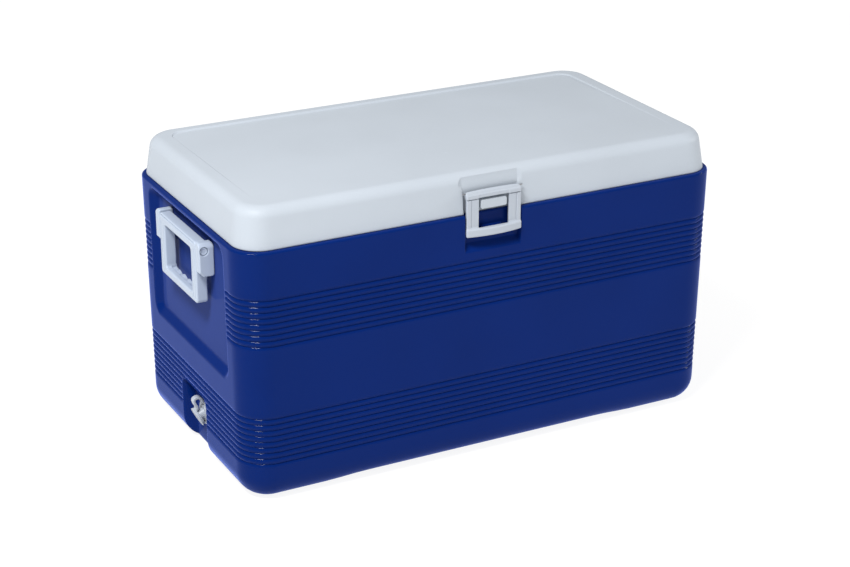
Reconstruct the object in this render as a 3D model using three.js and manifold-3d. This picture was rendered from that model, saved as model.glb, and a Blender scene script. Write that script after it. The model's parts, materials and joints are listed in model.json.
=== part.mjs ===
// Insulated ice chest with a hinged lid, a snap latch, two swing handles and a capped drain.
// Millimetres, +Z up. The origin is at the centre of the base, +X points to the right end,
// and -Y is the front, where the latch is.
import * as THREE from 'three';
import { mergeVertices } from 'three/addons/utils/BufferGeometryUtils.js';
import Module from 'manifold-3d';

const wasm = await Module();
wasm.setup();

// ---------------------------------------------------------------- driving dimensions
const GAP = 0.3; // between pieces that touch
const PAST = 5; // how far a cutting solid runs past the face it opens

const BODY = {
  halfLength: 360, // at the rim
  halfDepth: 192,
  height: 354,
  lengthDraft: 0.011, // each wall leans in by this much per mm going down
  depthDraft: 0.008,
  corner: 40,
  baseFillet: 30,
  rimFillet: 3,
  wall: 3.5,
  floor: 6.5,
  lip: 13, // the rim's return lip, from the outer face
  archHalf: 240, // the middle of the underside is raised between two foot pads
  archSlope: 20,
  archRise: 3,
};
const GROOVES = {
  count: 9,
  depth: 1.4,
  halfWidth: 2,
  bands: [
    { lowest: 56.74, pitch: 8.12 },
    { lowest: 224.42, pitch: 7.96 },
  ],
};
const LINER = {
  halfLength: 322, // inside, at the rim
  halfDepth: 154,
  draft: 0.02,
  corner: 30,
  floorFillet: 8,
  floor: 36,
  wall: 2.5,
  flange: 3.1,
};
const LID = {
  bottom: BODY.height + GAP,
  top: 408.8,
  inset: 5.9, // how far the lid's edge lies inside the body's
  draft: 0.125,
  corner: 34,
  fillet: 13.6,
  wall: 3,
  crown: 4,
  plugDepth: 12,
  plugClearance: 4,
  plugLead: 3,
};
const LID_PANEL = { halfLength: 320, front: -150, back: 157, corner: 22, depth: 1.5 };
const LID_NOTCH = { halfWidth: 43, floorY: -179.5 };
const LID_PLATE = { low: LID.bottom + 0.1, high: LID.bottom + 2.6, inset: LID.wall + GAP + 0.1 };
const LID_TONGUE = { halfWidth: 20.6, low: 359.5, high: 374.5, frontY: -192 };

const HANDLE_PANEL = {
  floorX: -349.5,
  mouthX: -362,
  floorHalf: 121,
  mouthHalf: 132,
  floorLow: 174,
  mouthLow: 160,
  floorHigh: 342,
  mouthHigh: 350,
  corner: 14,
};
const DRAIN_RECESS = {
  floorX: -338,
  mouthX: -362,
  floorHalf: 38,
  mouthHalf: 42,
  floorLow: -20, // open at the bottom
  mouthLow: -20,
  floorHigh: 88,
  mouthHigh: 95,
  corner: 6,
};
const LATCH_RECESS = { halfWidth: 42, floorY: -186, floorLow: 313, mouthLow: 303, mouthY: -194 };
const CATCH = { halfWidth: 15, low: 329, high: 335, frontY: -189.8, lowSlope: 3, highSlope: 2 };

const HANDLE = {
  pivotX: -363.6,
  pivotZ: 323.5,
  pinRadius: 3,
  frontX: -370.6,
  backX: -354.6,
  outerHalf: 64.5,
  innerHalf: 47.3,
  low: 246,
  high: 329,
  corner: 5,
  edge: 1.2,
  gripLow: 257,
  gripHigh: 319,
  gripCorner: 4,
  pinDepth: 13, // into the side bar
};
const BRACKET = {
  inner: 65.3,
  outer: 79,
  low: 288,
  high: 334,
  corner: 6,
  bevel: 3,
  screwHeights: [297, 311],
  bossRadius: 5.6,
  bossDepth: 2,
};
const LATCH = {
  pivotY: -186.5,
  pivotZ: 383.3,
  barrelRadius: 6.5,
  pinRadius: 2.2,
  pinHalf: 45.5,
  halfWidth: 40.5,
  windowHalf: 21.8,
  postFrontY: -193,
  postBackY: -187.5,
  barLow: 327,
  barHigh: 338,
  barHalf: 41.2,
  barEndY: -194.4,
  barFrontY: -199.3,
  barBackY: -190.5,
};
const HINGE = {
  centres: { left: -210, right: 210 },
  axisY: 195.8,
  axisZ: BODY.height + GAP / 2,
  barrelRadius: 3.5,
  pinRadius: 1.8,
  halfWidth: 30,
  knuckleHalf: 11.5,
  leaf: 2.7,
  leafGap: 0.8, // from the body leaf's edge to the barrel
  knuckleGap: 0.5,
  bodyLeafLow: 318,
  lidLeafLow: 360,
  lidLeafHigh: 386,
  webLow: 358.5,
  webHigh: 365,
  screwX: 20,
  bodyScrewZ: 331,
  lidScrewZ: 375,
};
const DRAIN = {
  axisZ: 55.5,
  tubeRadius: 9,
  boreRadius: 6.5,
  flangeRadius: 17,
  flange: 3,
  washer: 2,
  innerX: -307,
  nutRadius: 13,
  nut: 6,
  neckTilt: THREE.MathUtils.degToRad(27),
  neckRadius: 7.8,
  neckBore: 5.2,
  neckLength: 10.6,
  capRadius: 13.5,
  capWall: 2.6,
  capLow: 8.5, // along the neck, from the flange
  capSeat: 11,
  capTop: 12.6,
  strapWidth: 8,
  strap: 3.2,
};
const SCREW = { headRadius: 4, head: 1.8, shankRadius: 1.9, tip: 2, length: 12 };

// ---------------------------------------------------------------- materials
const plastic = (color, roughness) =>
  new THREE.MeshStandardMaterial({ color, roughness, metalness: 0 });
const BLUE = plastic(0x16308a, 0.42);
const LID_WHITE = plastic(0xd7dfe6, 0.45);
const LINER_WHITE = plastic(0xe6e9ea, 0.4);
const FITTING_WHITE = plastic(0xe2e8ee, 0.38);
const FOAM = plastic(0xe8d9a8, 0.9);
const RUBBER = plastic(0x2b2c2e, 0.8);
const STEEL = new THREE.MeshStandardMaterial({ color: 0xb8bbbf, roughness: 0.35, metalness: 1 });

// ---------------------------------------------------------------- solids

// A closed three.js geometry as a solid that can be cut and joined.
function solid(geometry) {
  const flat = geometry.index ? geometry.toNonIndexed() : geometry;
  const bare = new THREE.BufferGeometry().setAttribute('position', flat.getAttribute('position'));
  const merged = mergeVertices(bare, 1e-3);
  const corners = merged.index.array;
  const triangles = [];
  for (let i = 0; i < corners.length; i += 3) {
    const [a, b, c] = corners.slice(i, i + 3);
    if (a !== b && b !== c && c !== a) triangles.push(a, b, c);
  }
  return new wasm.Manifold(
    new wasm.Mesh({
      numProp: 3,
      vertProperties: merged.attributes.position.array,
      triVerts: new Uint32Array(triangles),
    }),
  );
}

function joined(first, ...others) {
  return others.reduce((whole, piece) => whole.add(piece), first);
}

function cut(first, ...tools) {
  return tools.reduce((whole, tool) => whole.subtract(tool), first);
}

function geometryOf(manifold) {
  const mesh = manifold.getMesh();
  const geometry = new THREE.BufferGeometry();
  geometry.setAttribute('position', new THREE.BufferAttribute(mesh.vertProperties, 3));
  geometry.setIndex(new THREE.BufferAttribute(mesh.triVerts, 1));
  return geometry.toNonIndexed();
}

// A rounded rectangle of points, counter-clockwise from above, at one height.
function ring(halfX, halfY, radius, z, centreY = 0, steps = 4) {
  const points = [];
  for (let quarter = 0; quarter < 4; quarter += 1) {
    const signX = quarter === 0 || quarter === 3 ? 1 : -1;
    const signY = quarter < 2 ? 1 : -1;
    for (let step = 0; step <= steps; step += 1) {
      const angle = ((quarter + step / steps) * Math.PI) / 2;
      points.push(
        new THREE.Vector3(
          signX * (halfX - radius) + radius * Math.cos(angle),
          centreY + signY * (halfY - radius) + radius * Math.sin(angle),
          z,
        ),
      );
    }
  }
  return points;
}

// The closed solid through rings of equal point counts, from the lowest to the highest.
function loft(rings) {
  const count = rings[0].length;
  const positions = rings.flat().flatMap((point) => point.toArray());
  const index = [];
  for (let level = 0; level < rings.length - 1; level += 1) {
    for (let i = 0; i < count; i += 1) {
      const a = level * count + i;
      const b = level * count + ((i + 1) % count);
      index.push(a, b, b + count, a, b + count, a + count);
    }
  }
  const top = (rings.length - 1) * count;
  for (let i = 1; i < count - 1; i += 1) {
    index.push(0, i + 1, i);
    index.push(top, top + i, top + i + 1);
  }
  const geometry = new THREE.BufferGeometry();
  geometry.setAttribute('position', new THREE.Float32BufferAttribute(positions, 3));
  geometry.setIndex(index);
  return geometry;
}

// Turns a loft stacked along Z into one stacked along X, its width along Y, its height along Z.
const STACK_ALONG_X = new THREE.Matrix4().makeBasis(
  new THREE.Vector3(0, 1, 0),
  new THREE.Vector3(0, 0, 1),
  new THREE.Vector3(1, 0, 0),
);
// Turns it into one stacked along Y, its width along X, its height along Z, facing -Y.
const STACK_ALONG_FRONT = new THREE.Matrix4().makeBasis(
  new THREE.Vector3(1, 0, 0),
  new THREE.Vector3(0, 0, 1),
  new THREE.Vector3(0, -1, 0),
);

function box(x0, x1, y0, y1, z0, z1) {
  const geometry = new THREE.BoxGeometry(x1 - x0, y1 - y0, z1 - z0);
  return geometry.translate((x0 + x1) / 2, (y0 + y1) / 2, (z0 + z1) / 2);
}

// A cylinder from one point to another.
function rod(radius, start, end, sides = 12) {
  const from = new THREE.Vector3(...start);
  const along = new THREE.Vector3(...end).sub(from);
  const length = along.length();
  const turn = new THREE.Quaternion().setFromUnitVectors(
    new THREE.Vector3(0, 1, 0),
    along.clone().normalize(),
  );
  const geometry = new THREE.CylinderGeometry(radius, radius, length, sides);
  geometry.translate(0, length / 2, 0);
  geometry.applyQuaternion(turn);
  return geometry.translate(from.x, from.y, from.z);
}

// An outline in the Y-Z plane extruded along X, from x0 to x1.
function alongX(outline, x0, x1) {
  const shape = new THREE.Shape(outline.map(([y, z]) => new THREE.Vector2(y, z)));
  const geometry = new THREE.ExtrudeGeometry(shape, { depth: x1 - x0, bevelEnabled: false });
  return geometry.translate(0, 0, x0).applyMatrix4(STACK_ALONG_X);
}

// An outline in the X-Z plane extruded along Y, from y0 to y1.
function alongY(shape, y0, y1) {
  const geometry = new THREE.ExtrudeGeometry(shape, {
    depth: y1 - y0,
    bevelEnabled: false,
    curveSegments: 4,
  });
  return geometry.translate(0, 0, -y1).applyMatrix4(STACK_ALONG_FRONT);
}

function part(name, shape, material) {
  const geometry = shape.isBufferGeometry ? shape : geometryOf(shape);
  geometry.computeVertexNormals();
  const mesh = new THREE.Mesh(geometry, material);
  mesh.name = name;
  return mesh;
}

// ---------------------------------------------------------------- body
function bodyRing(z, inset) {
  const below = BODY.height - z;
  return ring(
    BODY.halfLength - BODY.lengthDraft * below - inset,
    BODY.halfDepth - BODY.depthDraft * below - inset,
    BODY.corner - Math.min(inset, BODY.corner - 6),
    z,
    0,
    3,
  );
}

// Rings of a rounded edge that runs from a flat floor up into a wall.
function filletRings(makeRing, z, inset, radius, steps) {
  const rings = [];
  for (let step = 0; step <= steps; step += 1) {
    const angle = (step / steps) * (Math.PI / 2);
    rings.push(makeRing(z + radius * (1 - Math.cos(angle)), inset + radius * (1 - Math.sin(angle))));
  }
  return rings;
}

function bodyOuter() {
  const rings = filletRings(bodyRing, 0, 0, BODY.baseFillet, 4);
  for (const band of GROOVES.bands) {
    for (let i = 0; i < GROOVES.count; i += 1) {
      const z = band.lowest + i * band.pitch;
      rings.push(bodyRing(z - GROOVES.halfWidth, 0));
      rings.push(bodyRing(z, GROOVES.depth));
      rings.push(bodyRing(z + GROOVES.halfWidth, 0));
    }
  }
  rings.push(bodyRing(BODY.height - BODY.rimFillet, 0));
  rings.push(bodyRing(BODY.height - 0.3 * BODY.rimFillet, 0.3 * BODY.rimFillet));
  rings.push(bodyRing(BODY.height, BODY.rimFillet));
  return solid(loft(rings));
}

// The space inside the blue shell, shrunk by a gap for the foam.
function bodyHollow(gap, top) {
  const fillet = BODY.baseFillet - BODY.wall;
  const rings = filletRings(bodyRing, BODY.floor + gap, BODY.wall + gap, fillet, 3);
  rings.push(bodyRing(top, BODY.wall + gap));
  return solid(loft(rings));
}

function bodyArch() {
  const half = BODY.archHalf;
  const top = half - BODY.archSlope;
  const outline = new THREE.Shape();
  outline.moveTo(-half, -1);
  outline.lineTo(half, -1);
  outline.lineTo(half, 0);
  outline.lineTo(top, BODY.archRise);
  outline.lineTo(-top, BODY.archRise);
  outline.lineTo(-half, 0);
  return solid(alongY(outline, -BODY.halfDepth - PAST, BODY.halfDepth + PAST));
}

// A recess in the left end wall, as the solid that cuts it, grown on all sides.
function endRecess(recess, grow) {
  const radius = recess.corner + grow;
  const level = (x, half, low, high) =>
    ring(half + grow, (high - low) / 2 + grow, radius, x, (high + low) / 2);
  const rings = [
    level(recess.mouthX, recess.mouthHalf, recess.mouthLow, recess.mouthHigh),
    level(recess.floorX + grow, recess.floorHalf, recess.floorLow, recess.floorHigh),
  ];
  return loft(rings).applyMatrix4(STACK_ALONG_X);
}

function handlePanel(side, grow) {
  const geometry = endRecess(HANDLE_PANEL, grow);
  return solid(side === 'left' ? geometry : geometry.rotateZ(Math.PI));
}

function drainRecess(grow) {
  return solid(endRecess(DRAIN_RECESS, grow));
}

// The recess behind the latch, open at the rim, with a sloping sill.
function latchRecess(grow) {
  const top = BODY.height + PAST;
  const outline = [
    [LATCH_RECESS.mouthY, LATCH_RECESS.mouthLow - grow],
    [LATCH_RECESS.floorY + grow, LATCH_RECESS.floorLow - grow],
    [LATCH_RECESS.floorY + grow, top],
    [LATCH_RECESS.mouthY, top],
  ];
  const half = LATCH_RECESS.halfWidth + grow;
  return solid(alongX(outline, -half, half));
}

function recesses(grow) {
  return joined(
    handlePanel('left', grow),
    handlePanel('right', grow),
    drainRecess(grow),
    latchRecess(grow),
  );
}

// ---------------------------------------------------------------- screws
// A pan-head screw along +Y: the head's seat is at the origin and the shank runs to -Y.
function screwGeometry(grow = 0) {
  const profile = [
    [0, -SCREW.length - grow],
    [SCREW.shankRadius * 0.5 + grow, -SCREW.length - grow],
    [SCREW.shankRadius + grow, -SCREW.length + SCREW.tip],
    [SCREW.shankRadius + grow, -grow],
    [SCREW.headRadius + grow, -grow],
    [SCREW.headRadius + grow, SCREW.head * 0.5],
    [SCREW.headRadius * 0.7 + grow, SCREW.head + grow],
    [0, SCREW.head + grow],
  ];
  return new THREE.LatheGeometry(
    profile.map(([radius, height]) => new THREE.Vector2(radius, height)),
    8,
  );
}

const FACING = {
  back: new THREE.Euler(0, 0, 0),
  right: new THREE.Euler(0, 0, -Math.PI / 2),
};

function screwTool(seat, facing) {
  const turn = new THREE.Matrix4().makeRotationFromEuler(facing).setPosition(...seat);
  return solid(screwGeometry(GAP).applyMatrix4(turn));
}

function screw(name, seat, facing) {
  const mesh = part(name, screwGeometry(), STEEL);
  mesh.position.set(...seat);
  mesh.rotation.copy(facing);
  return mesh;
}

// Handle screws go in from inside the end wall, heads in the foam. Given for the left end.
const HANDLE_SCREW_X = HANDLE_PANEL.floorX + BODY.wall + GAP;
const HANDLE_SCREWS = [-1, 1].flatMap((end) =>
  BRACKET.screwHeights.map((z) => [HANDLE_SCREW_X, (end * (BRACKET.inner + BRACKET.outer)) / 2, z]),
);
const HINGE_BODY_SCREW_Y = BODY.halfDepth + GAP + HINGE.leaf - SCREW.head;

function handleScrewTools() {
  const left = HANDLE_SCREWS.map((seat) => screwTool(seat, FACING.right));
  const half = new THREE.Matrix4().makeRotationZ(Math.PI);
  const right = HANDLE_SCREWS.map((seat) => {
    const turn = new THREE.Matrix4().makeRotationFromEuler(FACING.right).setPosition(...seat);
    return solid(screwGeometry(GAP).applyMatrix4(turn.premultiply(half)));
  });
  return [...left, ...right];
}

// ---------------------------------------------------------------- hinges
function lidBackY(z) {
  return BODY.halfDepth - LID.inset - LID.draft * (z - LID.bottom);
}

function hingeScrewSeats(centre) {
  const lidSeatY = lidBackY(HINGE.lidScrewZ) + GAP + HINGE.leaf - SCREW.head;
  return [-1, 1].flatMap((end) => [
    { piece: 'body', seat: [centre + end * HINGE.screwX, HINGE_BODY_SCREW_Y, HINGE.bodyScrewZ] },
    { piece: 'lid', seat: [centre + end * HINGE.screwX, lidSeatY, HINGE.lidScrewZ] },
  ]);
}

function hingeScrewTools(piece) {
  return Object.values(HINGE.centres)
    .flatMap(hingeScrewSeats)
    .filter((each) => each.piece === piece)
    .map((each) => screwTool(each.seat, FACING.back));
}

function hingeBarrel(x0, x1, radius) {
  return solid(rod(radius, [x0, HINGE.axisY, HINGE.axisZ], [x1, HINGE.axisY, HINGE.axisZ]));
}

function hingeBore(centre) {
  const half = HINGE.halfWidth + PAST;
  return hingeBarrel(centre - half, centre + half, HINGE.pinRadius + GAP);
}

function hingeBodyLeaf(centre) {
  const backY = BODY.halfDepth + GAP;
  const top = HINGE.axisZ - HINGE.barrelRadius - HINGE.leafGap;
  const plate = box(
    centre - HINGE.halfWidth,
    centre + HINGE.halfWidth,
    backY,
    backY + HINGE.leaf,
    HINGE.bodyLeafLow,
    top,
  );
  const pieces = [solid(plate)];
  for (const end of [-1, 1]) {
    const near = centre + end * (HINGE.knuckleHalf + HINGE.knuckleGap);
    const far = centre + end * HINGE.halfWidth;
    const [x0, x1] = [Math.min(near, far), Math.max(near, far)];
    pieces.push(solid(box(x0, x1, backY, backY + HINGE.leaf, top - 1, HINGE.axisZ)));
    pieces.push(hingeBarrel(x0, x1, HINGE.barrelRadius));
  }
  return cut(joined(...pieces), hingeBore(centre), ...hingeScrewTools('body'));
}

function hingeLidLeaf(centre) {
  const inner = (z) => [lidBackY(z) + GAP, z];
  const outer = (z) => [lidBackY(z) + GAP + HINGE.leaf, z];
  const plate = [
    inner(HINGE.lidLeafLow),
    outer(HINGE.lidLeafLow),
    outer(HINGE.lidLeafHigh),
    inner(HINGE.lidLeafHigh),
  ];
  const web = [
    inner(HINGE.webLow),
    [HINGE.axisY - HINGE.leaf, HINGE.axisZ + GAP],
    [HINGE.axisY + 1, HINGE.axisZ + HINGE.barrelRadius - GAP],
    outer(HINGE.webHigh),
    inner(HINGE.webHigh),
  ];
  const knuckle = HINGE.knuckleHalf;
  const whole = joined(
    solid(alongX(plate, centre - HINGE.halfWidth, centre + HINGE.halfWidth)),
    solid(alongX(web, centre - knuckle, centre + knuckle)),
    hingeBarrel(centre - knuckle, centre + knuckle, HINGE.barrelRadius),
  );
  return cut(whole, hingeBore(centre), ...hingeScrewTools('lid'));
}

function hinge(side, centre) {
  const group = new THREE.Group();
  group.add(part(`hinge_${side}_body_leaf`, hingeBodyLeaf(centre), FITTING_WHITE));
  group.add(part(`hinge_${side}_lid_leaf`, hingeLidLeaf(centre), FITTING_WHITE));
  const pin = hingeBarrel(centre - HINGE.halfWidth, centre + HINGE.halfWidth, HINGE.pinRadius);
  group.add(part(`hinge_${side}_pin`, pin, STEEL));
  const counts = { body: 0, lid: 0 };
  for (const { piece, seat } of hingeScrewSeats(centre)) {
    counts[piece] += 1;
    const name = `hinge_${side}_${piece}_screw_${counts[piece]}`;
    group.add(screw(name, seat, FACING.back));
  }
  return group;
}

// ---------------------------------------------------------------- body pieces
function drainHole(radius) {
  const from = [DRAIN_RECESS.floorX - PAST, 0, DRAIN.axisZ];
  return solid(rod(radius, from, [DRAIN.innerX + PAST, 0, DRAIN.axisZ], 16));
}

function bodyShell() {
  const hollow = bodyHollow(0, BODY.height - BODY.wall).subtract(recesses(BODY.wall));
  const mouthRings = [BODY.height - BODY.wall - PAST, BODY.height + PAST];
  const mouth = solid(loft(mouthRings.map((z) => bodyRing(z, BODY.lip))));
  const outline = [
    [LATCH_RECESS.floorY + 1, CATCH.high],
    [CATCH.frontY, CATCH.high - CATCH.highSlope],
    [CATCH.frontY, CATCH.low],
    [LATCH_RECESS.floorY + 1, CATCH.low - CATCH.lowSlope],
  ];
  const shell = cut(
    bodyOuter(),
    recesses(0),
    hollow,
    mouth,
    bodyArch(),
    drainHole(DRAIN.tubeRadius + GAP),
    ...hingeScrewTools('body'),
    ...handleScrewTools(),
  );
  return shell.add(solid(alongX(outline, -CATCH.halfWidth, CATCH.halfWidth)));
}

function linerRing(z, offset) {
  const below = BODY.height - z;
  return ring(
    LINER.halfLength - LINER.draft * below + offset,
    LINER.halfDepth - LINER.draft * below + offset,
    LINER.corner + offset,
    z,
  );
}

function linerTub(offset, floor, top) {
  const rings = filletRings(
    (z, inset) => linerRing(z, offset - inset),
    floor,
    0,
    LINER.floorFillet,
    3,
  );
  rings.push(linerRing(top, offset));
  return solid(loft(rings));
}

function linerFlange() {
  const low = BODY.height - LINER.flange;
  const inset = BODY.lip + GAP;
  return solid(loft([bodyRing(low, inset), bodyRing(BODY.height, inset)]));
}

function bodyLiner() {
  const tub = linerTub(LINER.wall, LINER.floor - LINER.wall, BODY.height - 1);
  const inside = linerTub(0, LINER.floor, BODY.height + PAST);
  return cut(joined(tub, linerFlange()), inside, drainHole(DRAIN.tubeRadius + GAP));
}

function bodyFoam() {
  const grow = BODY.wall + GAP;
  const top = BODY.height - LINER.flange - GAP;
  return cut(
    bodyHollow(GAP, top - GAP),
    recesses(grow),
    linerTub(LINER.wall + GAP, LINER.floor - LINER.wall - GAP, BODY.height + PAST),
    drainHole(DRAIN.tubeRadius + GAP),
    ...hingeScrewTools('body'),
    ...handleScrewTools(),
  );
}

// ---------------------------------------------------------------- lid
function lidRing(z, inset) {
  const rise = LID.draft * (z - LID.bottom);
  return ring(
    BODY.halfLength - LID.inset - rise - inset,
    BODY.halfDepth - LID.inset - rise - inset,
    LID.corner - inset * 0.9,
    z,
  );
}

function lidDome(bottom, inset, top, fillet, steps) {
  const rings = [lidRing(bottom, inset)];
  for (let step = 0; step <= steps; step += 1) {
    const angle = (step / steps) * (Math.PI / 2);
    const z = top - fillet * (1 - Math.sin(angle));
    rings.push(lidRing(z, inset + fillet * (1 - Math.cos(angle))));
  }
  return solid(loft(rings));
}

// The shallow panel sunk in the top: deepest along the back, fading out towards the front.
function lidPanel() {
  const halfDepth = (LID_PANEL.back - LID_PANEL.front) / 2;
  const centre = (LID_PANEL.back + LID_PANEL.front) / 2;
  const level = (z) => ring(LID_PANEL.halfLength, halfDepth, LID_PANEL.corner, z, centre);
  const floor = level(LID.top - LID_PANEL.depth);
  for (const point of floor) {
    point.z += (LID_PANEL.depth * (LID_PANEL.back - point.y)) / (2 * halfDepth) + 0.01;
  }
  return solid(loft([floor, level(LID.top + PAST)]));
}

function lidNotch(grow) {
  const half = LID_NOTCH.halfWidth + grow;
  const floorY = LID_NOTCH.floorY + grow;
  const depth = BODY.halfDepth + PAST;
  return solid(box(-half, half, -depth, floorY, LID.bottom - LID.plugDepth, LID.top + PAST));
}

function latchPinTool() {
  const half = LATCH.pinHalf + GAP;
  const at = (x) => [x, LATCH.pivotY, LATCH.pivotZ];
  return solid(rod(LATCH.pinRadius + GAP, at(-half), at(half), 8));
}

function lidShell() {
  const outer = lidDome(LID.bottom, 0, LID.top, LID.fillet, 5);
  const hollow = lidDome(LID.bottom - PAST, LID.wall, LID.top - LID.crown, LID.fillet - LID.wall, 3);
  const tongue = solid(
    box(
      -LID_TONGUE.halfWidth,
      LID_TONGUE.halfWidth,
      LID_TONGUE.frontY,
      LID_NOTCH.floorY + 1,
      LID_TONGUE.low,
      LID_TONGUE.high,
    ),
  );
  const shell = cut(
    outer,
    lidNotch(0),
    hollow.subtract(lidNotch(LID.wall)),
    lidPanel(),
    latchPinTool(),
    ...hingeScrewTools('lid'),
  );
  return shell.add(tongue);
}

// The lid's inner panel is a tray: its plug drops into the chest's mouth.
function lidTray(offset, floor, top) {
  const half = LINER.halfLength - LID.plugClearance + offset;
  const halfDepth = LINER.halfDepth - LID.plugClearance + offset;
  const lead = LID.plugLead;
  return solid(
    loft([
      ring(half - lead, halfDepth - lead, LINER.corner - lead + offset, floor),
      ring(half, halfDepth, LINER.corner + offset, floor + lead),
      ring(half, halfDepth, LINER.corner + offset, top),
    ]),
  );
}

function lidPlate() {
  const plate = loft([LID_PLATE.low, LID_PLATE.high].map((z) => lidRing(z, LID_PLATE.inset)));
  return solid(plate).subtract(lidNotch(LID.wall + GAP));
}

function lidLiner() {
  const floor = BODY.height - LID.plugDepth;
  const pan = lidTray(0, floor, LID_PLATE.high);
  const inside = lidTray(-LINER.wall, floor + LINER.wall, LID_PLATE.high + PAST);
  return cut(joined(pan, lidPlate()), inside);
}

function lidFoam() {
  const inset = LID.wall + GAP;
  const fillet = LID.fillet - LID.wall;
  const dome = lidDome(LID_PLATE.high + GAP, inset, LID.top - LID.crown - GAP, fillet, 3);
  const floor = BODY.height - LID.plugDepth + LINER.wall + GAP;
  const plug = lidTray(-LINER.wall - GAP, floor, LID_PLATE.high + 1);
  return cut(
    joined(plug, dome),
    lidNotch(LID.wall + GAP),
    ...hingeScrewTools('lid'),
  );
}

// ---------------------------------------------------------------- latch
function latchBail() {
  const at = (x) => [x, LATCH.pivotY, LATCH.pivotZ];
  const barrel = solid(rod(LATCH.barrelRadius, at(-LATCH.halfWidth), at(LATCH.halfWidth), 16));
  const bow = new THREE.Shape();
  bow.moveTo(LATCH.barHalf, LATCH.barBackY);
  bow.lineTo(-LATCH.barHalf, LATCH.barBackY);
  bow.lineTo(-LATCH.barHalf, LATCH.barEndY);
  bow.quadraticCurveTo(0, 2 * LATCH.barFrontY - LATCH.barEndY, LATCH.barHalf, LATCH.barEndY);
  const bar = new THREE.ExtrudeGeometry(bow, {
    depth: LATCH.barHigh - LATCH.barLow,
    bevelEnabled: false,
    curveSegments: 10,
  }).translate(0, 0, LATCH.barLow);
  const posts = [-1, 1].map((end) => {
    const edges = [end * LATCH.windowHalf, end * LATCH.halfWidth].sort((a, b) => a - b);
    const top = LATCH.pivotZ;
    return solid(
      box(...edges, LATCH.postFrontY, LATCH.postBackY, LATCH.barLow + 4, top),
    );
  });
  const bore = solid(rod(LATCH.pinRadius + GAP, at(-LATCH.pinHalf), at(LATCH.pinHalf), 8));
  return joined(barrel, solid(bar), ...posts).subtract(bore);
}

function latchPin() {
  const at = (x) => [x, LATCH.pivotY, LATCH.pivotZ];
  return rod(LATCH.pinRadius, at(-LATCH.pinHalf), at(LATCH.pinHalf), 8);
}

// ---------------------------------------------------------------- handles, drawn at the left end
function handleBail() {
  const middle = (HANDLE.high + HANDLE.low) / 2;
  const halfHeight = (HANDLE.high - HANDLE.low) / 2;
  const outline = (x, inset) =>
    ring(HANDLE.outerHalf - inset, halfHeight - inset, HANDLE.corner - inset, x, middle, 3);
  const block = loft([
    outline(HANDLE.frontX, HANDLE.edge),
    outline(HANDLE.frontX + HANDLE.edge, 0),
    outline(HANDLE.backX - HANDLE.edge, 0),
    outline(HANDLE.backX, HANDLE.edge),
  ]).applyMatrix4(STACK_ALONG_X);
  const gripMiddle = (HANDLE.gripHigh + HANDLE.gripLow) / 2;
  const gripHalf = (HANDLE.gripHigh - HANDLE.gripLow) / 2;
  const grip = (x) => ring(HANDLE.innerHalf, gripHalf, HANDLE.gripCorner, x, gripMiddle, 3);
  const window = loft([grip(HANDLE.frontX - PAST), grip(HANDLE.backX + PAST)]);
  const tools = [solid(window.applyMatrix4(STACK_ALONG_X))];
  for (const end of [-1, 1]) {
    const inner = HANDLE.outerHalf - HANDLE.pinDepth;
    tools.push(handlePinRod(end, HANDLE.pinRadius + GAP, inner, BRACKET.outer));
  }
  return cut(solid(block), ...tools);
}

function handlePinRod(end, radius, from, to) {
  const at = (y) => [HANDLE.pivotX, end * y, HANDLE.pivotZ];
  return solid(rod(radius, at(from), at(to), 12));
}

function handlePin(end) {
  const headInner = BRACKET.outer - BRACKET.bossDepth + 0.2;
  const inner = HANDLE.outerHalf - HANDLE.pinDepth + GAP;
  return joined(
    handlePinRod(end, HANDLE.pinRadius, inner, headInner + 0.5),
    handlePinRod(end, BRACKET.bossRadius - 0.5, headInner, headInner + 1.2),
  );
}

// An ear that stands off the panel and carries one end of the bail.
function handleBracket(end) {
  const depth = HANDLE_PANEL.floorX - GAP - HANDLE.frontX;
  const outline = new THREE.Shape();
  const [back, front] = [0, -depth];
  outline.moveTo(back, BRACKET.low);
  outline.lineTo(back, BRACKET.high - BRACKET.corner);
  outline.quadraticCurveTo(back, BRACKET.high, back - BRACKET.corner, BRACKET.high);
  outline.lineTo(front + BRACKET.corner, BRACKET.high);
  outline.quadraticCurveTo(front, BRACKET.high, front, BRACKET.high - BRACKET.corner);
  outline.lineTo(front, BRACKET.low + BRACKET.bevel);
  outline.lineTo(front + BRACKET.bevel, BRACKET.low);
  outline.closePath();
  const [y0, y1] = end < 0 ? [-BRACKET.outer, -BRACKET.inner] : [BRACKET.inner, BRACKET.outer];
  const block = alongY(outline, y0, y1).translate(HANDLE_PANEL.floorX - GAP, 0, 0);
  const tools = [
    handlePinRod(end, HANDLE.pinRadius + GAP, BRACKET.inner - PAST, BRACKET.outer + PAST),
    handlePinRod(end, BRACKET.bossRadius, BRACKET.outer - BRACKET.bossDepth, BRACKET.outer + PAST),
  ];
  for (const seat of HANDLE_SCREWS.filter(([, y]) => y * end > 0)) {
    tools.push(screwTool(seat, FACING.right));
  }
  return cut(solid(block), ...tools);
}

// The right-hand handle is the left-hand one turned half way round about Z.
function handle(side) {
  const group = new THREE.Group();
  const turned = side === 'right';
  group.add(part(`handle_${side}_bail`, handleBail(), FITTING_WHITE));
  for (const end of [-1, 1]) {
    const place = end < 0 !== turned ? 'front' : 'rear';
    group.add(part(`handle_${side}_bracket_${place}`, handleBracket(end), FITTING_WHITE));
    group.add(part(`handle_${side}_pin_${place}`, handlePin(end), FITTING_WHITE));
    HANDLE_SCREWS.filter(([, y]) => y * end > 0).forEach((seat, i) => {
      group.add(screw(`handle_${side}_screw_${place}_${i + 1}`, seat, FACING.right));
    });
  }
  group.rotation.z = turned ? Math.PI : 0;
  return group;
}

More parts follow.
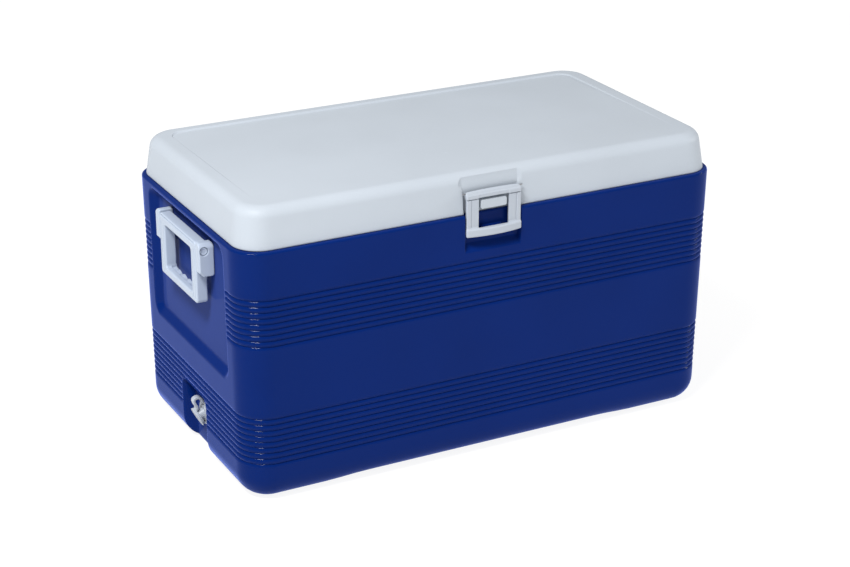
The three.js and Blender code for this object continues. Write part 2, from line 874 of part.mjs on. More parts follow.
// ---------------------------------------------------------------- drain, at the left end
const DRAIN_SEAT_X = DRAIN_RECESS.floorX - GAP - DRAIN.washer - GAP;
const DRAIN_FACE_X = DRAIN_SEAT_X - DRAIN.flange;
const DRAIN_OUT = new THREE.Vector3(-Math.cos(DRAIN.neckTilt), 0, -Math.sin(DRAIN.neckTilt));

function drainPoint(distance) {
  const point = new THREE.Vector3(DRAIN_FACE_X + 1, 0, DRAIN.axisZ);
  return point.addScaledVector(DRAIN_OUT, distance).toArray();
}

function drainSpout() {
  const at = (x) => [x, 0, DRAIN.axisZ];
  const body = joined(
    solid(rod(DRAIN.flangeRadius, at(DRAIN_FACE_X), at(DRAIN_SEAT_X), 16)),
    solid(rod(DRAIN.tubeRadius, at(DRAIN_FACE_X + 1), at(DRAIN.innerX), 16)),
    solid(rod(DRAIN.neckRadius, drainPoint(0), drainPoint(DRAIN.neckLength), 16)),
  );
  return cut(
    body,
    solid(rod(DRAIN.boreRadius, at(DRAIN_SEAT_X + 1), at(DRAIN.innerX + PAST), 16)),
    solid(rod(DRAIN.neckBore, drainPoint(-2), drainPoint(DRAIN.neckLength + PAST), 16)),
  );
}

function drainWasher() {
  const at = (x) => [x, 0, DRAIN.axisZ];
  const from = DRAIN_RECESS.floorX - GAP;
  return cut(
    solid(rod(DRAIN.flangeRadius - 1, at(from - DRAIN.washer), at(from), 16)),
    solid(rod(DRAIN.tubeRadius + GAP, at(from - PAST), at(from + PAST), 16)),
  );
}

function drainNut() {
  const at = (x) => [x, 0, DRAIN.axisZ];
  const wallX = -LINER.halfLength + LINER.draft * (BODY.height - DRAIN.axisZ);
  const from = wallX + 0.9;
  return cut(
    solid(rod(DRAIN.nutRadius, at(from), at(from + DRAIN.nut), 6)),
    solid(rod(DRAIN.tubeRadius + GAP, at(from - PAST), at(from + DRAIN.nut + PAST), 16)),
  );
}

// The cap closes the neck's mouth. Its strap loops up from the cap to the flange's top edge.
function drainCap() {
  const disc = solid(rod(DRAIN.capRadius, drainPoint(DRAIN.capLow), drainPoint(DRAIN.capTop), 16));
  const socketRadius = DRAIN.capRadius - DRAIN.capWall;
  const socket = solid(rod(socketRadius, drainPoint(0), drainPoint(DRAIN.capSeat), 16));
  const start = new THREE.Vector3(...drainPoint(DRAIN.capLow + 1.6));
  const up = new THREE.Vector3(DRAIN_OUT.z, 0, -DRAIN_OUT.x);
  const rim = start.clone().addScaledVector(up, DRAIN.capRadius - 1);
  const rootX = DRAIN_FACE_X - 2.2;
  const rootZ = DRAIN.axisZ + DRAIN.flangeRadius + 0.2;
  const path = new THREE.CatmullRomCurve3([
    rim,
    new THREE.Vector3(rim.x - 2.6, 0, rim.z + 3.5),
    new THREE.Vector3(rim.x - 2.2, 0, rim.z + 8.5),
    new THREE.Vector3((rim.x + rootX) / 2 - 0.5, 0, rootZ + 4.6),
    new THREE.Vector3(rootX - 3.5, 0, rootZ + 3.6),
    new THREE.Vector3(rootX, 0, rootZ),
  ]);
  const section = new THREE.Shape([
    new THREE.Vector2(-DRAIN.strap / 2, -DRAIN.strapWidth / 2),
    new THREE.Vector2(DRAIN.strap / 2, -DRAIN.strapWidth / 2),
    new THREE.Vector2(DRAIN.strap / 2, DRAIN.strapWidth / 2),
    new THREE.Vector2(-DRAIN.strap / 2, DRAIN.strapWidth / 2),
  ]);
  const strap = new THREE.ExtrudeGeometry(section, { extrudePath: path, steps: 10 });
  return joined(disc.subtract(socket), solid(strap));
}

// ---------------------------------------------------------------- the assembly
const chest = new THREE.Group();
chest.add(part('body_shell', bodyShell(), BLUE));
chest.add(part('body_foam', bodyFoam(), FOAM));
chest.add(part('body_liner', bodyLiner(), LINER_WHITE));
chest.add(part('lid_shell', lidShell(), LID_WHITE));
chest.add(part('lid_foam', lidFoam(), FOAM));
chest.add(part('lid_liner', lidLiner(), LINER_WHITE));
chest.add(part('latch_bail', latchBail(), FITTING_WHITE));
chest.add(part('latch_pin', latchPin(), STEEL));
chest.add(handle('left'));
chest.add(handle('right'));
for (const [side, centre] of Object.entries(HINGE.centres)) {
  chest.add(hinge(side, centre));
}
chest.add(part('drain_spout', drainSpout(), FITTING_WHITE));
chest.add(part('drain_washer', drainWasher(), RUBBER));
chest.add(part('drain_nut', drainNut(), FITTING_WHITE));
chest.add(part('drain_cap', drainCap(), FITTING_WHITE));

export default chest;
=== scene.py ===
"""The looks of an insulated ice chest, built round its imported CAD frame.

Shapes are worked out in millimetres in the frame's own axes (+Z up, +X the right end, -Y the front)
and become metres when a mesh is made.
"""

import json
import math

import bmesh
import bpy
import numpy as np
from mathutils import Matrix, Vector


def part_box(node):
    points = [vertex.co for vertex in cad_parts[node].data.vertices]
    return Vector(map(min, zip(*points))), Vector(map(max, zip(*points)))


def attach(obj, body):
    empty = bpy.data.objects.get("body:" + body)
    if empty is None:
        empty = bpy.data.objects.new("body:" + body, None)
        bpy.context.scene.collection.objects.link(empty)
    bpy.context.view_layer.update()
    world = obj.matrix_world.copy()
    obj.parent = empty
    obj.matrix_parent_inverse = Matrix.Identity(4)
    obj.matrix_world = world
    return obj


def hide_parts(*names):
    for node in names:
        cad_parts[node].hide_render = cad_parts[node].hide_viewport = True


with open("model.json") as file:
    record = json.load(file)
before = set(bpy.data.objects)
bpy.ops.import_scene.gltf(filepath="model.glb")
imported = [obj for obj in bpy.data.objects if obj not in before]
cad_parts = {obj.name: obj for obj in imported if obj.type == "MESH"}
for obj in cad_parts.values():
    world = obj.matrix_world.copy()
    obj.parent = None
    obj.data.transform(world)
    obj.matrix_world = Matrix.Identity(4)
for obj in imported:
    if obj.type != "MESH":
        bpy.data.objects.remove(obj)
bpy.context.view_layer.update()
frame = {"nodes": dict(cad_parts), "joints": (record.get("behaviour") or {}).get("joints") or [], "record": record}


# ------------------------------------------------ the frame's places, in millimetres
def box(node):
    """The low and high corners of a CAD node."""
    low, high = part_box(node)
    return np.array(low) * 1000, np.array(high) * 1000


def pivot(joint):
    """The place of a joint's axis."""
    return next(np.array(j["pos_m"]) * 1000 for j in frame["joints"] if j["name"] == joint)


BODY_HIGH = box("body_shell")[1]
LID_LOW, LID_HIGH = box("lid_shell")
LATCH_LOW, LATCH_HIGH = box("latch_bail")
BAIL_LOW, BAIL_HIGH = box("handle_left_bail")
LATCH_PIVOT = pivot("latch_swing")
HANDLE_PIVOT = pivot("left_handle_swing")
HINGE_PIVOT = pivot("lid_hinge")

HALF_LENGTH = BODY_HIGH[0]
HALF_DEPTH = 192.0
HEIGHT = BODY_HIGH[2]
BODY_DRAFT = np.array([0.011, 0.008])
BODY_CORNER = 43.0
BASE_FILLET = 34.0
RIM_FILLET = 3.0
WALL = 3.5
FLOOR = 6.5
LIP = 13.0
ARCH_HALF, ARCH_SLOPE, ARCH_RISE = 240.0, 60.0, 3.0

GROOVE_BANDS = ((56.74, 8.12), (224.42, 7.96))  # lowest groove, pitch
GROOVE_COUNT, GROOVE_DEPTH = 9, 2.2

PANEL_X, PANEL_HALF, PANEL_LOW, PANEL_HIGH = 349.5, 132.0, 160.0, 348.0
PANEL_CORNER, PANEL_SLOPE = 18.0, 11.0
DRAIN_X, DRAIN_HALF, DRAIN_HIGH, DRAIN_CORNER, DRAIN_SLOPE = 338.0, 42.5, 95.0, 12.0, 5.5
RECESS_Y, RECESS_HALF, SILL_LOW, SILL_HIGH = 183.4, 41.8, 303.0, 313.0
CATCH_HALF, CATCH_LOW, CATCH_HIGH, CATCH_Y = 15.0, 329.0, 335.0, 189.8

LID_BOTTOM, LID_TOP = LID_LOW[2], LID_HIGH[2]
LID_INSET, LID_DRAFT, LID_CORNER, LID_FILLET = 5.9, 0.125, 38.5, 13.6
LID_WALL, LID_CROWN = 3.0, 4.0
STEP_HALF, STEP_FRONT, STEP_BACK, STEP_CORNER, STEP_DEPTH = 320.0, -150.0, 157.0, 22.0, 2.2
NOTCH_HALF, NOTCH_Y, NOTCH_SCOOP, NOTCH_SLOPE, NOTCH_FLARE = 41.1, 179.5, 2.6, 1.0, 5.5
TONGUE_HALF, TONGUE_LOW, TONGUE_HIGH, TONGUE_Y = 20.6, 359.5, 374.5, 192.0

LINER_HALF = np.array([322.0, 154.0])
LINER_DRAFT, LINER_CORNER, LINER_FILLET, LINER_FLOOR = 0.02, 30.0, 8.0, 36.0
LINER_WALL, LINER_FLANGE = 2.5, 3.1
PLUG_LOW, PLUG_CLEARANCE, PLUG_LEAD = 342.0, 4.0, 3.0
DRAIN_Z, DRAIN_FACE = 55.5, 343.6
NECK_TILT = math.radians(27)


# ------------------------------------------------ shape functions
def smoothstep(low, high, value):
    t = np.clip((value - low) / (high - low), 0, 1)
    return t * t * (3 - 2 * t)


def middle_half(low, high):
    """The middle of a span, and half its length."""
    return (low + high) / 2, (high - low) / 2


def arc(steps, start=0, end=90):
    """1 - cos and 1 - sin at even steps of a quarter round: how far it still is from its two tangents."""
    return [(1 - math.cos(a), 1 - math.sin(a)) for a in np.radians(np.linspace(start, end, steps))]


def soft_ramp(t, soft=0.13):
    """0 below t=0 and 1 above t=1, with its two corners rounded."""
    return np.mean([np.clip(t + shift, 0, 1) for shift in np.linspace(-soft, soft, 7)], axis=0)


def rect(u, v, half_u, half_v, radius):
    """Distance to a rounded rectangle round the origin, negative inside."""
    a, b = np.abs(u) - half_u + radius, np.abs(v) - half_v + radius
    return np.hypot(np.maximum(a, 0), np.maximum(b, 0)) + np.minimum(np.maximum(a, b), 0) - radius


def slab(flat, along, half, radius=0.0):
    """Distance to a flat outline of distance field `flat`, made solid for |along| < half."""
    a, b = flat + radius, np.abs(along) - half + radius
    return np.hypot(np.maximum(a, 0), np.maximum(b, 0)) + np.minimum(np.maximum(a, b), 0) - radius


def block(x, y, z, low, high, radius):
    """Distance to a box with rounded edges."""
    c, h = (np.array(low) + high) / 2, (np.array(high) - low) / 2
    q = [np.abs(p - m) - e + radius for p, m, e in zip((x, y, z), c, h)]
    outside = np.sqrt(sum(np.maximum(k, 0) ** 2 for k in q))
    return outside + np.minimum(np.maximum(np.maximum(q[0], q[1]), q[2]), 0) - radius


def union(a, b, blend=0.0):
    if not blend:
        return np.minimum(a, b)
    t = np.clip(0.5 + 0.5 * (b - a) / blend, 0, 1)
    return b + (a - b) * t - blend * t * (1 - t)


def cut(a, b, blend=0.0):
    return -union(-a, b, blend)


# ------------------------------------------------ meshes
def scene_object(name, data):
    obj = bpy.data.objects.new(name, data)
    bpy.context.scene.collection.objects.link(obj)
    return obj


def mesh_object(name, points, faces, crease=40):
    mesh = bpy.data.meshes.new(name)
    mesh.from_pydata((np.asarray(points) / 1000).tolist(), [], faces)
    bm = bmesh.new()
    bm.from_mesh(mesh)
    bmesh.ops.recalc_face_normals(bm, faces=bm.faces)
    bm.to_mesh(mesh)
    bm.free()
    mesh.shade_smooth()
    mesh.set_sharp_from_angle(angle=math.radians(crease))
    return scene_object(name, mesh)


def skin(grid):
    """Faces of a grid of points, closed round its columns and capped at its first and last rows."""
    rows, columns = grid.shape[:2]
    at = np.arange(rows * columns).reshape(rows, columns)
    right = np.roll(at, -1, axis=1)
    quads = np.stack([at[:-1], right[:-1], right[1:], at[1:]], axis=-1).reshape(-1, 4)
    return quads.tolist() + [at[0][::-1].tolist(), at[-1].tolist()]


ROOM_ROUND = 2.5  # mm searched beyond a sculpted piece's box
EDGES = [(a, a | 1 << k) for a in range(8) for k in range(3) if not a >> k & 1]


def sculpt(name, field, low, high, cell, crease=35):
    """The closed surface where a distance field is zero, with one point for each cell it crosses."""
    low = np.array(low, float) - ROOM_ROUND
    count = np.ceil((np.array(high) + ROOM_ROUND - low) / cell).astype(int) + 1
    x, y, z = np.meshgrid(*[low[k] + cell * np.arange(count[k]) for k in range(3)], indexing="ij")
    value = field(x, y, z)
    cells = count - 1

    def corner(index):
        i, j, k = (index >> axis & 1 for axis in range(3))
        return value[i : i + cells[0], j : j + cells[1], k : k + cells[2]]

    inside = sum((corner(c) < 0).astype(int) for c in range(8))
    active = (inside > 0) & (inside < 8)
    at = np.argwhere(active)
    total, hits = np.zeros((len(at), 3)), np.zeros(len(at))
    for a, b in EDGES:
        value_a, value_b = corner(a)[active], corner(b)[active]
        crossed = (value_a < 0) != (value_b < 0)
        t = np.where(crossed, value_a / np.where(crossed, value_a - value_b, 1), 0)
        start = np.array([a >> axis & 1 for axis in range(3)], float)
        step = np.array([b >> axis & 1 for axis in range(3)]) - start
        total += np.where(crossed[:, None], start + t[:, None] * step, 0)
        hits += crossed
    points = low + cell * (at + total / hits[:, None])
    number = np.full(cells, -1)
    number[active] = np.arange(len(at))
    faces = []
    for axis in range(3):
        u, v = [(1, 2), (2, 0), (0, 1)][axis]
        first = np.take(value, range(cells[axis]), axis=axis) < 0
        second = np.take(value, range(1, cells[axis] + 1), axis=axis) < 0
        for i, j, k in np.argwhere(first != second):
            spot = [i, j, k]
            ring = []
            for du, dv in ((0, 0), (1, 0), (1, 1), (0, 1)):
                near = list(spot)
                near[u] -= du
                near[v] -= dv
                ring.append(int(number[tuple(near)]))
            faces.append(ring if first[i, j, k] else ring[::-1])
    return mesh_object(name, points, faces, crease)


def columns_of(corner_steps, right, back, left, front, reach):
    """Columns round a rounded rectangle: a share of the straight sides, and an outward direction."""
    share, out = [], []

    def side(values, fixed, direction):
        for value in values:
            share.append(fixed(value))
            out.append(direction)

    def turn(start, sign):
        for step in range(corner_steps + 1):
            angle = math.radians(start + 90 * step / corner_steps)
            share.append(sign)
            out.append((math.cos(angle), math.sin(angle)))

    side(right, lambda y: (1, y / reach[1]), (1, 0))
    turn(0, (1, 1))
    side(back, lambda x: (x / reach[0], 1), (0, 1))
    turn(90, (-1, 1))
    side(left, lambda y: (-1, y / reach[1]), (-1, 0))
    turn(180, (-1, -1))
    side(front, lambda x: (x / reach[0], -1), (0, -1))
    turn(270, (1, -1))
    return np.array(share, float), np.array(out, float)


def mirrored(values):
    values = sorted(set(values))
    return [-v for v in reversed(values) if v > 0] + list(values)


def spaced(low, high, step):
    return list(np.linspace(low, high, max(2, int(round((high - low) / step)) + 1)))


def row_wide(values, shape):
    """One value for each row, repeated along it."""
    return np.broadcast_to(values[:, None], shape)


def on_side(out, shape, axis, *signs):
    """1 at the columns whose outward direction along an axis is one of the signs, and 0 elsewhere."""
    return np.broadcast_to(np.isin(out[:, axis], signs), shape).astype(float)


def rings(share, out, halves, radii):
    """Points of rounded rectangles, one for each pair of half sizes and corner radius."""
    halves, radii = np.array(halves, float), np.array(radii, float)
    straight = np.maximum(halves - radii[:, None], 0.2)
    return straight[:, None, :] * share[None] + radii[:, None, None] * out[None]


# ------------------------------------------------ tub
def body_rows():
    """Every row's height and inset from the outer face: from under the base, over the rim and down inside."""
    outer = [(0, i) for i in (180, 150, 110, 75, 50, 36)]
    outer += [(BASE_FILLET * c, BASE_FILLET * s) for c, s in arc(11)]
    heights = set()
    for lowest, pitch in GROOVE_BANDS:
        for i in range(GROOVE_COUNT):
            for t in (0, 0.07, 0.17, 0.32, 0.6):
                heights |= {lowest + (i + t / 2) * pitch, lowest + (i - t / 2) * pitch}
            heights |= {lowest + (i + 0.5) * pitch, lowest + (i - 0.5) * pitch}
    for low, high, step in (
        (35, 52, 5),  # between the base's fillet and the lower grooves
        (128, 155, 8),
        (157, 176, 1.7),  # the handle panel's lower slope
        (182, 216, 7),
        (293, 300, 3),  # above the upper grooves
        (301, 315, 1.2),  # the latch recess's sill
        (318, 326, 3),
        (327, 350.9, 1.2),  # the catch and the handle panel's upper slope
    ):
        heights |= set(spaced(low, high, step))
    kept = []
    for z in sorted(heights):
        if not kept or z - kept[-1] > 0.2:
            kept.append(z)
    outer += [(z, 0) for z in kept]
    outer += [(HEIGHT - RIM_FILLET * s, RIM_FILLET * c) for c, s in arc(7)]
    outer += [(HEIGHT, 5), (HEIGHT, 9), (HEIGHT, LIP - 0.6), (HEIGHT - 0.6, LIP), (HEIGHT - WALL, LIP)]
    inner = [(HEIGHT - WALL, i) for i in (LIP - 2, 10, 6, WALL)]
    fillet = BASE_FILLET - WALL
    inner += [(z, WALL) for z in np.arange(HEIGHT - 6, FLOOR + fillet + 1, -8)]
    inner += [(FLOOR + fillet * c, WALL + fillet * s) for c, s in arc(6, 90, 0)]
    inner += [(FLOOR, i) for i in (36, 75, 110, 150, 180)]
    return outer, inner


def panel_distance(y, z):
    middle, half = middle_half(PANEL_LOW, PANEL_HIGH)
    return rect(y, z - middle, PANEL_HALF, half, PANEL_CORNER)


def drain_distance(y, z):
    return rect(y, z - DRAIN_HIGH + 120, DRAIN_HALF, 120, DRAIN_CORNER)


def body_recess(x, y, z, half, on_end, on_left, on_front):
    """How deep the recesses go in from the undented wall, at each point of it."""
    panel = (half[0] - PANEL_X) * soft_ramp(-panel_distance(y, z) / PANEL_SLOPE)
    drain = (half[0] - DRAIN_X) * soft_ramp(-drain_distance(y, z) / DRAIN_SLOPE)
    sides = soft_ramp((RECESS_HALF + 0.6 - np.abs(x)) / 1.6)
    sill = soft_ramp((z - SILL_LOW) / (SILL_HIGH - SILL_LOW), 0.08)
    catch = soft_ramp((CATCH_HALF + 0.6 - np.abs(x)) / 1.4)
    catch = catch * soft_ramp((z - CATCH_LOW + 3) / 3) * soft_ramp((CATCH_HIGH - z) / 2)
    latch = (half[1] - RECESS_Y) * sides * sill - (CATCH_Y - RECESS_Y) * catch
    return panel * on_end + np.maximum(drain - panel, 0) * on_left + latch * on_front


def groove_depth(y, z, on_end, on_left):
    depth = np.zeros_like(z)
    for lowest, pitch in GROOVE_BANDS:
        nearest = np.clip(np.round((z - lowest) / pitch), 0, GROOVE_COUNT - 1)
        t = np.abs(z - lowest - nearest * pitch) / (pitch / 2)
        depth = np.maximum(depth, GROOVE_DEPTH * np.clip(1 - t, 0, 1) ** 2)
    open_wall = 1 - on_end * (1 - smoothstep(0.5, 5, panel_distance(y, z)))
    return depth * open_wall * (1 - on_left * (1 - smoothstep(0, 4, drain_distance(y, z))))


def body_skin():
    """The tub's outer shell, inside and out, with its grooves, panels and recesses."""
    end = spaced(0, 30, 6) + spaced(34, 46, 0.9) + spaced(52, 112, 12) + spaced(117, 140, 1.5) + [145]
    plain_end = spaced(0, 112, 14) + spaced(117, 140, 1.5) + [145]
    front = [0, 7, 13.5, 14.4, 15.2, 16, 22, 31, 38] + spaced(40.4, 43.6, 0.4)
    front += [46, 54, 68] + spaced(90, 310, 22)
    back = spaced(0, 300, 30)
    reach = (HALF_LENGTH - BODY_CORNER, HALF_DEPTH - BODY_CORNER)
    right, left = mirrored(plain_end), mirrored(end)[::-1]
    share, out = columns_of(14, right, mirrored(back)[::-1], left, mirrored(front), reach)
    outer, inner = body_rows()
    rows = np.array(outer + inner)
    z, inset = rows[:, 0], rows[:, 1]
    wall = np.array([HALF_LENGTH, HALF_DEPTH]) - BODY_DRAFT * (HEIGHT - z[:, None])
    points = rings(share, out, wall - inset[:, None], BODY_CORNER - np.minimum(inset, BODY_CORNER - 6))
    x, y = points[..., 0], points[..., 1]
    z, inset = row_wide(z, x.shape), row_wide(inset, x.shape)
    is_inner = row_wide(np.arange(len(rows)) >= len(outer), x.shape)
    on_end, on_left = on_side(out, x.shape, 0, -1, 1), on_side(out, x.shape, 0, -1)
    on_front = on_side(out, x.shape, 1, -1)
    half = (wall[:, 0][:, None], wall[:, 1][:, None])
    need = body_recess(x, y, z, half, on_end, on_left, on_front)
    on_rim = z > HEIGHT - RIM_FILLET - 0.01
    depth = np.where(on_rim, need * (1 - inset / LIP), np.maximum(need - inset, 0))
    depth = np.where(is_inner, np.where(need > 0.2, np.maximum(need + WALL - inset, 0), 0), depth)
    on_wall = ~is_inner & (inset < 1)
    depth = depth + np.where(on_wall, groove_depth(y, z, on_end, on_left), 0)
    arch = ARCH_RISE * smoothstep(0, 1, (ARCH_HALF - np.abs(x)) / ARCH_SLOPE)
    lift = arch * np.clip(1 - z / BASE_FILLET, 0, 1) ** 2
    grid = np.stack([x - out[:, 0] * depth, y - out[:, 1] * depth, z + lift], axis=-1)
    return mesh_object("body_shell_skin", grid.reshape(-1, 3), skin(grid))


def liner_skin():
    """The white tub with the flange round its mouth, with the drain's hole still to be bored."""
    end, front = mirrored(spaced(0, 110, 22)), mirrored(spaced(0, 280, 28))
    share, out = columns_of(12, end, front[::-1], end[::-1], front, LINER_HALF - LINER_CORNER)
    rows = []

    def add(z, offset, radius=None):
        half = LINER_HALF - LINER_DRAFT * (HEIGHT - z) + offset
        rows.append((half[0], half[1], LINER_CORNER + offset if radius is None else radius, z))

    for offset in (-140, -100, -60, -35):
        add(LINER_FLOOR, offset, 8)
    for c, s in arc(9):
        add(LINER_FLOOR + LINER_FILLET * c, -LINER_FILLET * s)
    for z in spaced(60, HEIGHT - 6, 40):
        add(z, 0)
    for c, s in arc(6):
        add(HEIGHT - 2.5 * s, 2.5 * c)
    edge = LIP + 0.3
    flange = [(HEIGHT, edge + 8), (HEIGHT, edge + 0.5), (HEIGHT - 0.5, edge), (HEIGHT - LINER_FLANGE, edge)]
    for z, inset in flange:
        rows.append((HALF_LENGTH - inset, HALF_DEPTH - inset, BODY_CORNER - inset, z))
    add(HEIGHT - LINER_FLANGE, LINER_WALL + 3)
    for z in spaced(HEIGHT - LINER_FLANGE - 1, 60, 60):
        add(z, LINER_WALL)
    low = LINER_FLOOR - LINER_WALL
    for c, s in arc(6, 90, 0):
        add(low + LINER_FILLET * c, LINER_WALL - LINER_FILLET * s)
    for offset in (-35, -60, -100, -140):
        add(low, offset, 8)
    rows = np.array(rows)
    points = rings(share, out, rows[:, :2], rows[:, 2])
    z = row_wide(rows[:, 3], points.shape[:2])
    grid = np.concatenate([points, z[..., None]], axis=-1)
    return mesh_object("body_liner_skin", grid.reshape(-1, 3), skin(grid))


def bore(obj, start, end, radius):
    """Cuts a round hole through a mesh."""
    start, end = Vector(start) / 1000, Vector(end) / 1000
    tool = bmesh.new()
    turn = (end - start).to_track_quat("Z", "Y").to_matrix().to_4x4()
    place = Matrix.Translation((start + end) / 2) @ turn
    bmesh.ops.create_cone(tool, cap_ends=True, segments=48, radius1=radius / 1000, radius2=radius / 1000,
                          depth=(end - start).length, matrix=place)
    mesh = bpy.data.meshes.new("bore")
    tool.to_mesh(mesh)
    tool.free()
    cutter = scene_object("bore", mesh)
    modifier = obj.modifiers.new("bore", "BOOLEAN")
    modifier.operation, modifier.solver, modifier.object = "DIFFERENCE", "EXACT", cutter
    graph = bpy.context.evaluated_depsgraph_get()
    obj.data = bpy.data.meshes.new_from_object(obj.evaluated_get(graph), depsgraph=graph)
    obj.modifiers.clear()
    bpy.data.objects.remove(cutter)


# ------------------------------------------------ lid
def lid_rows():
    """Height and inset of every row: down the inside, then round the rim, up the wall and over the top."""
    inner_top = LID_TOP - LID_CROWN
    inner_fillet = LID_FILLET - LID_WALL
    inner = [(inner_top, i) for i in (165, 120, 80, 45, 30)]
    inner += [(inner_top - inner_fillet * s, LID_WALL + inner_fillet * c) for c, s in arc(7, 90, 0)]
    inner += [(z, LID_WALL) for z in np.linspace(392, LID_BOTTOM + 2, 12)]
    outer = [(LID_BOTTOM, LID_WALL), (LID_BOTTOM, 1.6), (LID_BOTTOM + 0.25, 0.6), (LID_BOTTOM + 0.8, 0.12)]
    heights = [356.2, 357.4] + spaced(358.6, 363.8, 0.65) + [366, 369, 371.5] + spaced(372.8, 376, 0.6)
    heights += [378, 381, 384, 387, 390, 393]
    outer += [(z, 0) for z in heights]
    outer += [(LID_TOP - LID_FILLET * s, LID_FILLET * c) for c, s in arc(15)]
    insets = spaced(15.2, 20, 1.2) + spaced(20.7, 37, 0.55) + [40, 46, 54, 70, 95, 125, 150, 165]
    outer += [(LID_TOP, i) for i in insets]
    return inner, outer


def lid_notch(x, z, half_depth):
    """How deep the latch's notch goes. It leans back and opens out towards the lid's top."""
    scoop = NOTCH_SCOOP * smoothstep(384, 404, z)
    flare = smoothstep(385, 393, z)
    slope = NOTCH_SLOPE + NOTCH_FLARE * flare
    sides = soft_ramp((NOTCH_HALF + 0.8 * flare + slope - np.abs(x)) / slope)
    return (half_depth - NOTCH_Y + scoop) * sides


def lid_tongue(x, z):
    """How far the tongue stands out from the notch's wall."""
    middle, half = middle_half(TONGUE_LOW, TONGUE_HIGH)
    return (TONGUE_Y - NOTCH_Y) * soft_ramp(-rect(x, z - middle, TONGUE_HALF, half, 3.5) / 1.4)


def lid_skin():
    """The lid's outer shell, open below, with the latch's notch and the sunk step of its top."""
    front = [0, 7, 13, 16] + spaced(17.5, 22, 0.6) + [25, 31, 37] + spaced(39.8, 50, 0.6)
    front += [53, 60] + spaced(75, 305, 23)
    reach = (HALF_LENGTH - LID_INSET - LID_CORNER, HALF_DEPTH - LID_INSET - LID_CORNER)
    end, back = mirrored(spaced(0, 145, 14)), mirrored(spaced(0, 305, 23))
    share, out = columns_of(14, end, back[::-1], end[::-1], mirrored(front), reach)
    inner, outer = lid_rows()
    rows = np.array(inner + outer)
    z, inset = rows[:, 0], rows[:, 1]
    wall = np.array([HALF_LENGTH, HALF_DEPTH]) - LID_INSET - LID_DRAFT * (z[:, None] - LID_BOTTOM)
    points = rings(share, out, wall - inset[:, None], np.maximum(LID_CORNER - 0.9 * inset, 3))
    x, y = points[..., 0], points[..., 1]
    z, inset = row_wide(z, x.shape), row_wide(inset, x.shape)
    is_inner = row_wide(np.arange(len(rows)) < len(inner), x.shape)
    on_front = on_side(out, x.shape, 1, -1)
    need = lid_notch(x, z, wall[:, 1][:, None]) * on_front
    depth = np.where(need > 0.1, np.maximum(need + LID_WALL * is_inner - inset, 0), 0)
    on_wall = ~is_inner & (inset < 1)
    depth = depth - np.where(on_wall, lid_tongue(x, z), 0) * on_front
    middle, half = middle_half(STEP_FRONT, STEP_BACK)
    step = soft_ramp(-rect(x, y - middle, STEP_HALF, half, STEP_CORNER) / 1.8)
    fade = np.clip((y - STEP_FRONT) / (STEP_BACK - STEP_FRONT), 0, 1)
    on_top = ~is_inner & (z > LID_TOP - 0.5)
    sunk = STEP_DEPTH * step * fade * on_top
    grid = np.stack([x - out[:, 0] * depth, y - out[:, 1] * depth, z - sunk], axis=-1)
    return mesh_object("lid_shell_skin", grid.reshape(-1, 3), skin(grid))


def tray_skin():
    """The lid's inner tray: a plug with a stiffened face, on a plate that closes the lid from below."""
    side = spaced(0, 110, 11)
    long_side = [0, 14, 28, 38, 42, 45, 46, 47, 49, 53] + spaced(64, 280, 12)
    reach = LINER_HALF - PLUG_CLEARANCE - LINER_CORNER
    end, back = mirrored(side), mirrored(spaced(0, 280, 14))
    share, out = columns_of(12, end, back[::-1], end[::-1], mirrored(long_side), reach)
    plug = LINER_HALF - PLUG_CLEARANCE
    plate_low, plate_high = LID_BOTTOM + 0.1, LID_BOTTOM + 2.6
    plate = np.array([HALF_LENGTH, HALF_DEPTH]) - LID_INSET - LID_WALL - 0.4
    rows = []

    def add(half, radius, z):
        rows.append((half[0], half[1], max(radius, 4), z))

    for inset in (135, 115, 95) + tuple(np.arange(84, 9, -2.0)):
        add(plug - inset, LINER_CORNER - inset * 0.8, PLUG_LOW)
    for c, s in arc(7):
        add(plug - PLUG_LEAD * s, LINER_CORNER - PLUG_LEAD * s, PLUG_LOW + PLUG_LEAD * c)
    for c, s in arc(5):
        add(plug + 2 * c, LINER_CORNER + 2 * c, plate_low - 2 * s)
    add(plate - 0.5, LID_CORNER - LID_WALL, plate_low)
    add(plate, LID_CORNER - LID_WALL, plate_low + 0.5)
    add(plate - 0.3, LID_CORNER - LID_WALL, plate_high)
    add(plug - LINER_WALL, LINER_CORNER - LINER_WALL, plate_high)
    add(plug - LINER_WALL, LINER_CORNER - LINER_WALL, PLUG_LOW + LINER_WALL + 3)
    add(plug - LINER_WALL - PLUG_LEAD, LINER_CORNER - LINER_WALL - PLUG_LEAD, PLUG_LOW + LINER_WALL)
    for inset in (40, 84, 115, 135):
        add(plug - inset, LINER_CORNER - inset * 0.8, PLUG_LOW + LINER_WALL)
    rows = np.array(rows)
    points = rings(share, out, rows[:, :2], rows[:, 2])
    x, y = points[..., 0], points[..., 1]
    z = row_wide(rows[:, 3], x.shape)
    room = NOTCH_Y - LID_WALL - 0.4
    beyond = np.maximum(-y - room, 0) * soft_ramp((NOTCH_HALF + 4 - np.abs(x)) / 2)
    dish = rect(x, y, plug[0] - 28, plug[1] - 28, 18)
    rib = 1.3 * soft_ramp(-dish / 4) * (z < PLUG_LOW + 0.1)
    grid = np.stack([x, y + beyond, z + rib], axis=-1)
    return mesh_object("lid_liner_skin", grid.reshape(-1, 3), skin(grid))


# ------------------------------------------------ latch
LATCH_FOOT = LATCH_LOW - (0, 0, 2.5)  # the pull bar reaches a little below the CAD's
BARREL_DROP, BARREL_RADIUS, BARREL_CROWN = 1.2, 2.9, 1.3
BAR_BACK, BAR_BOW, BAR_HALF_HEIGHT = -190.5, 4.9, 5.6
LATCH_PIN_RADIUS, LATCH_PIN_BORE = 1.2, 1.3


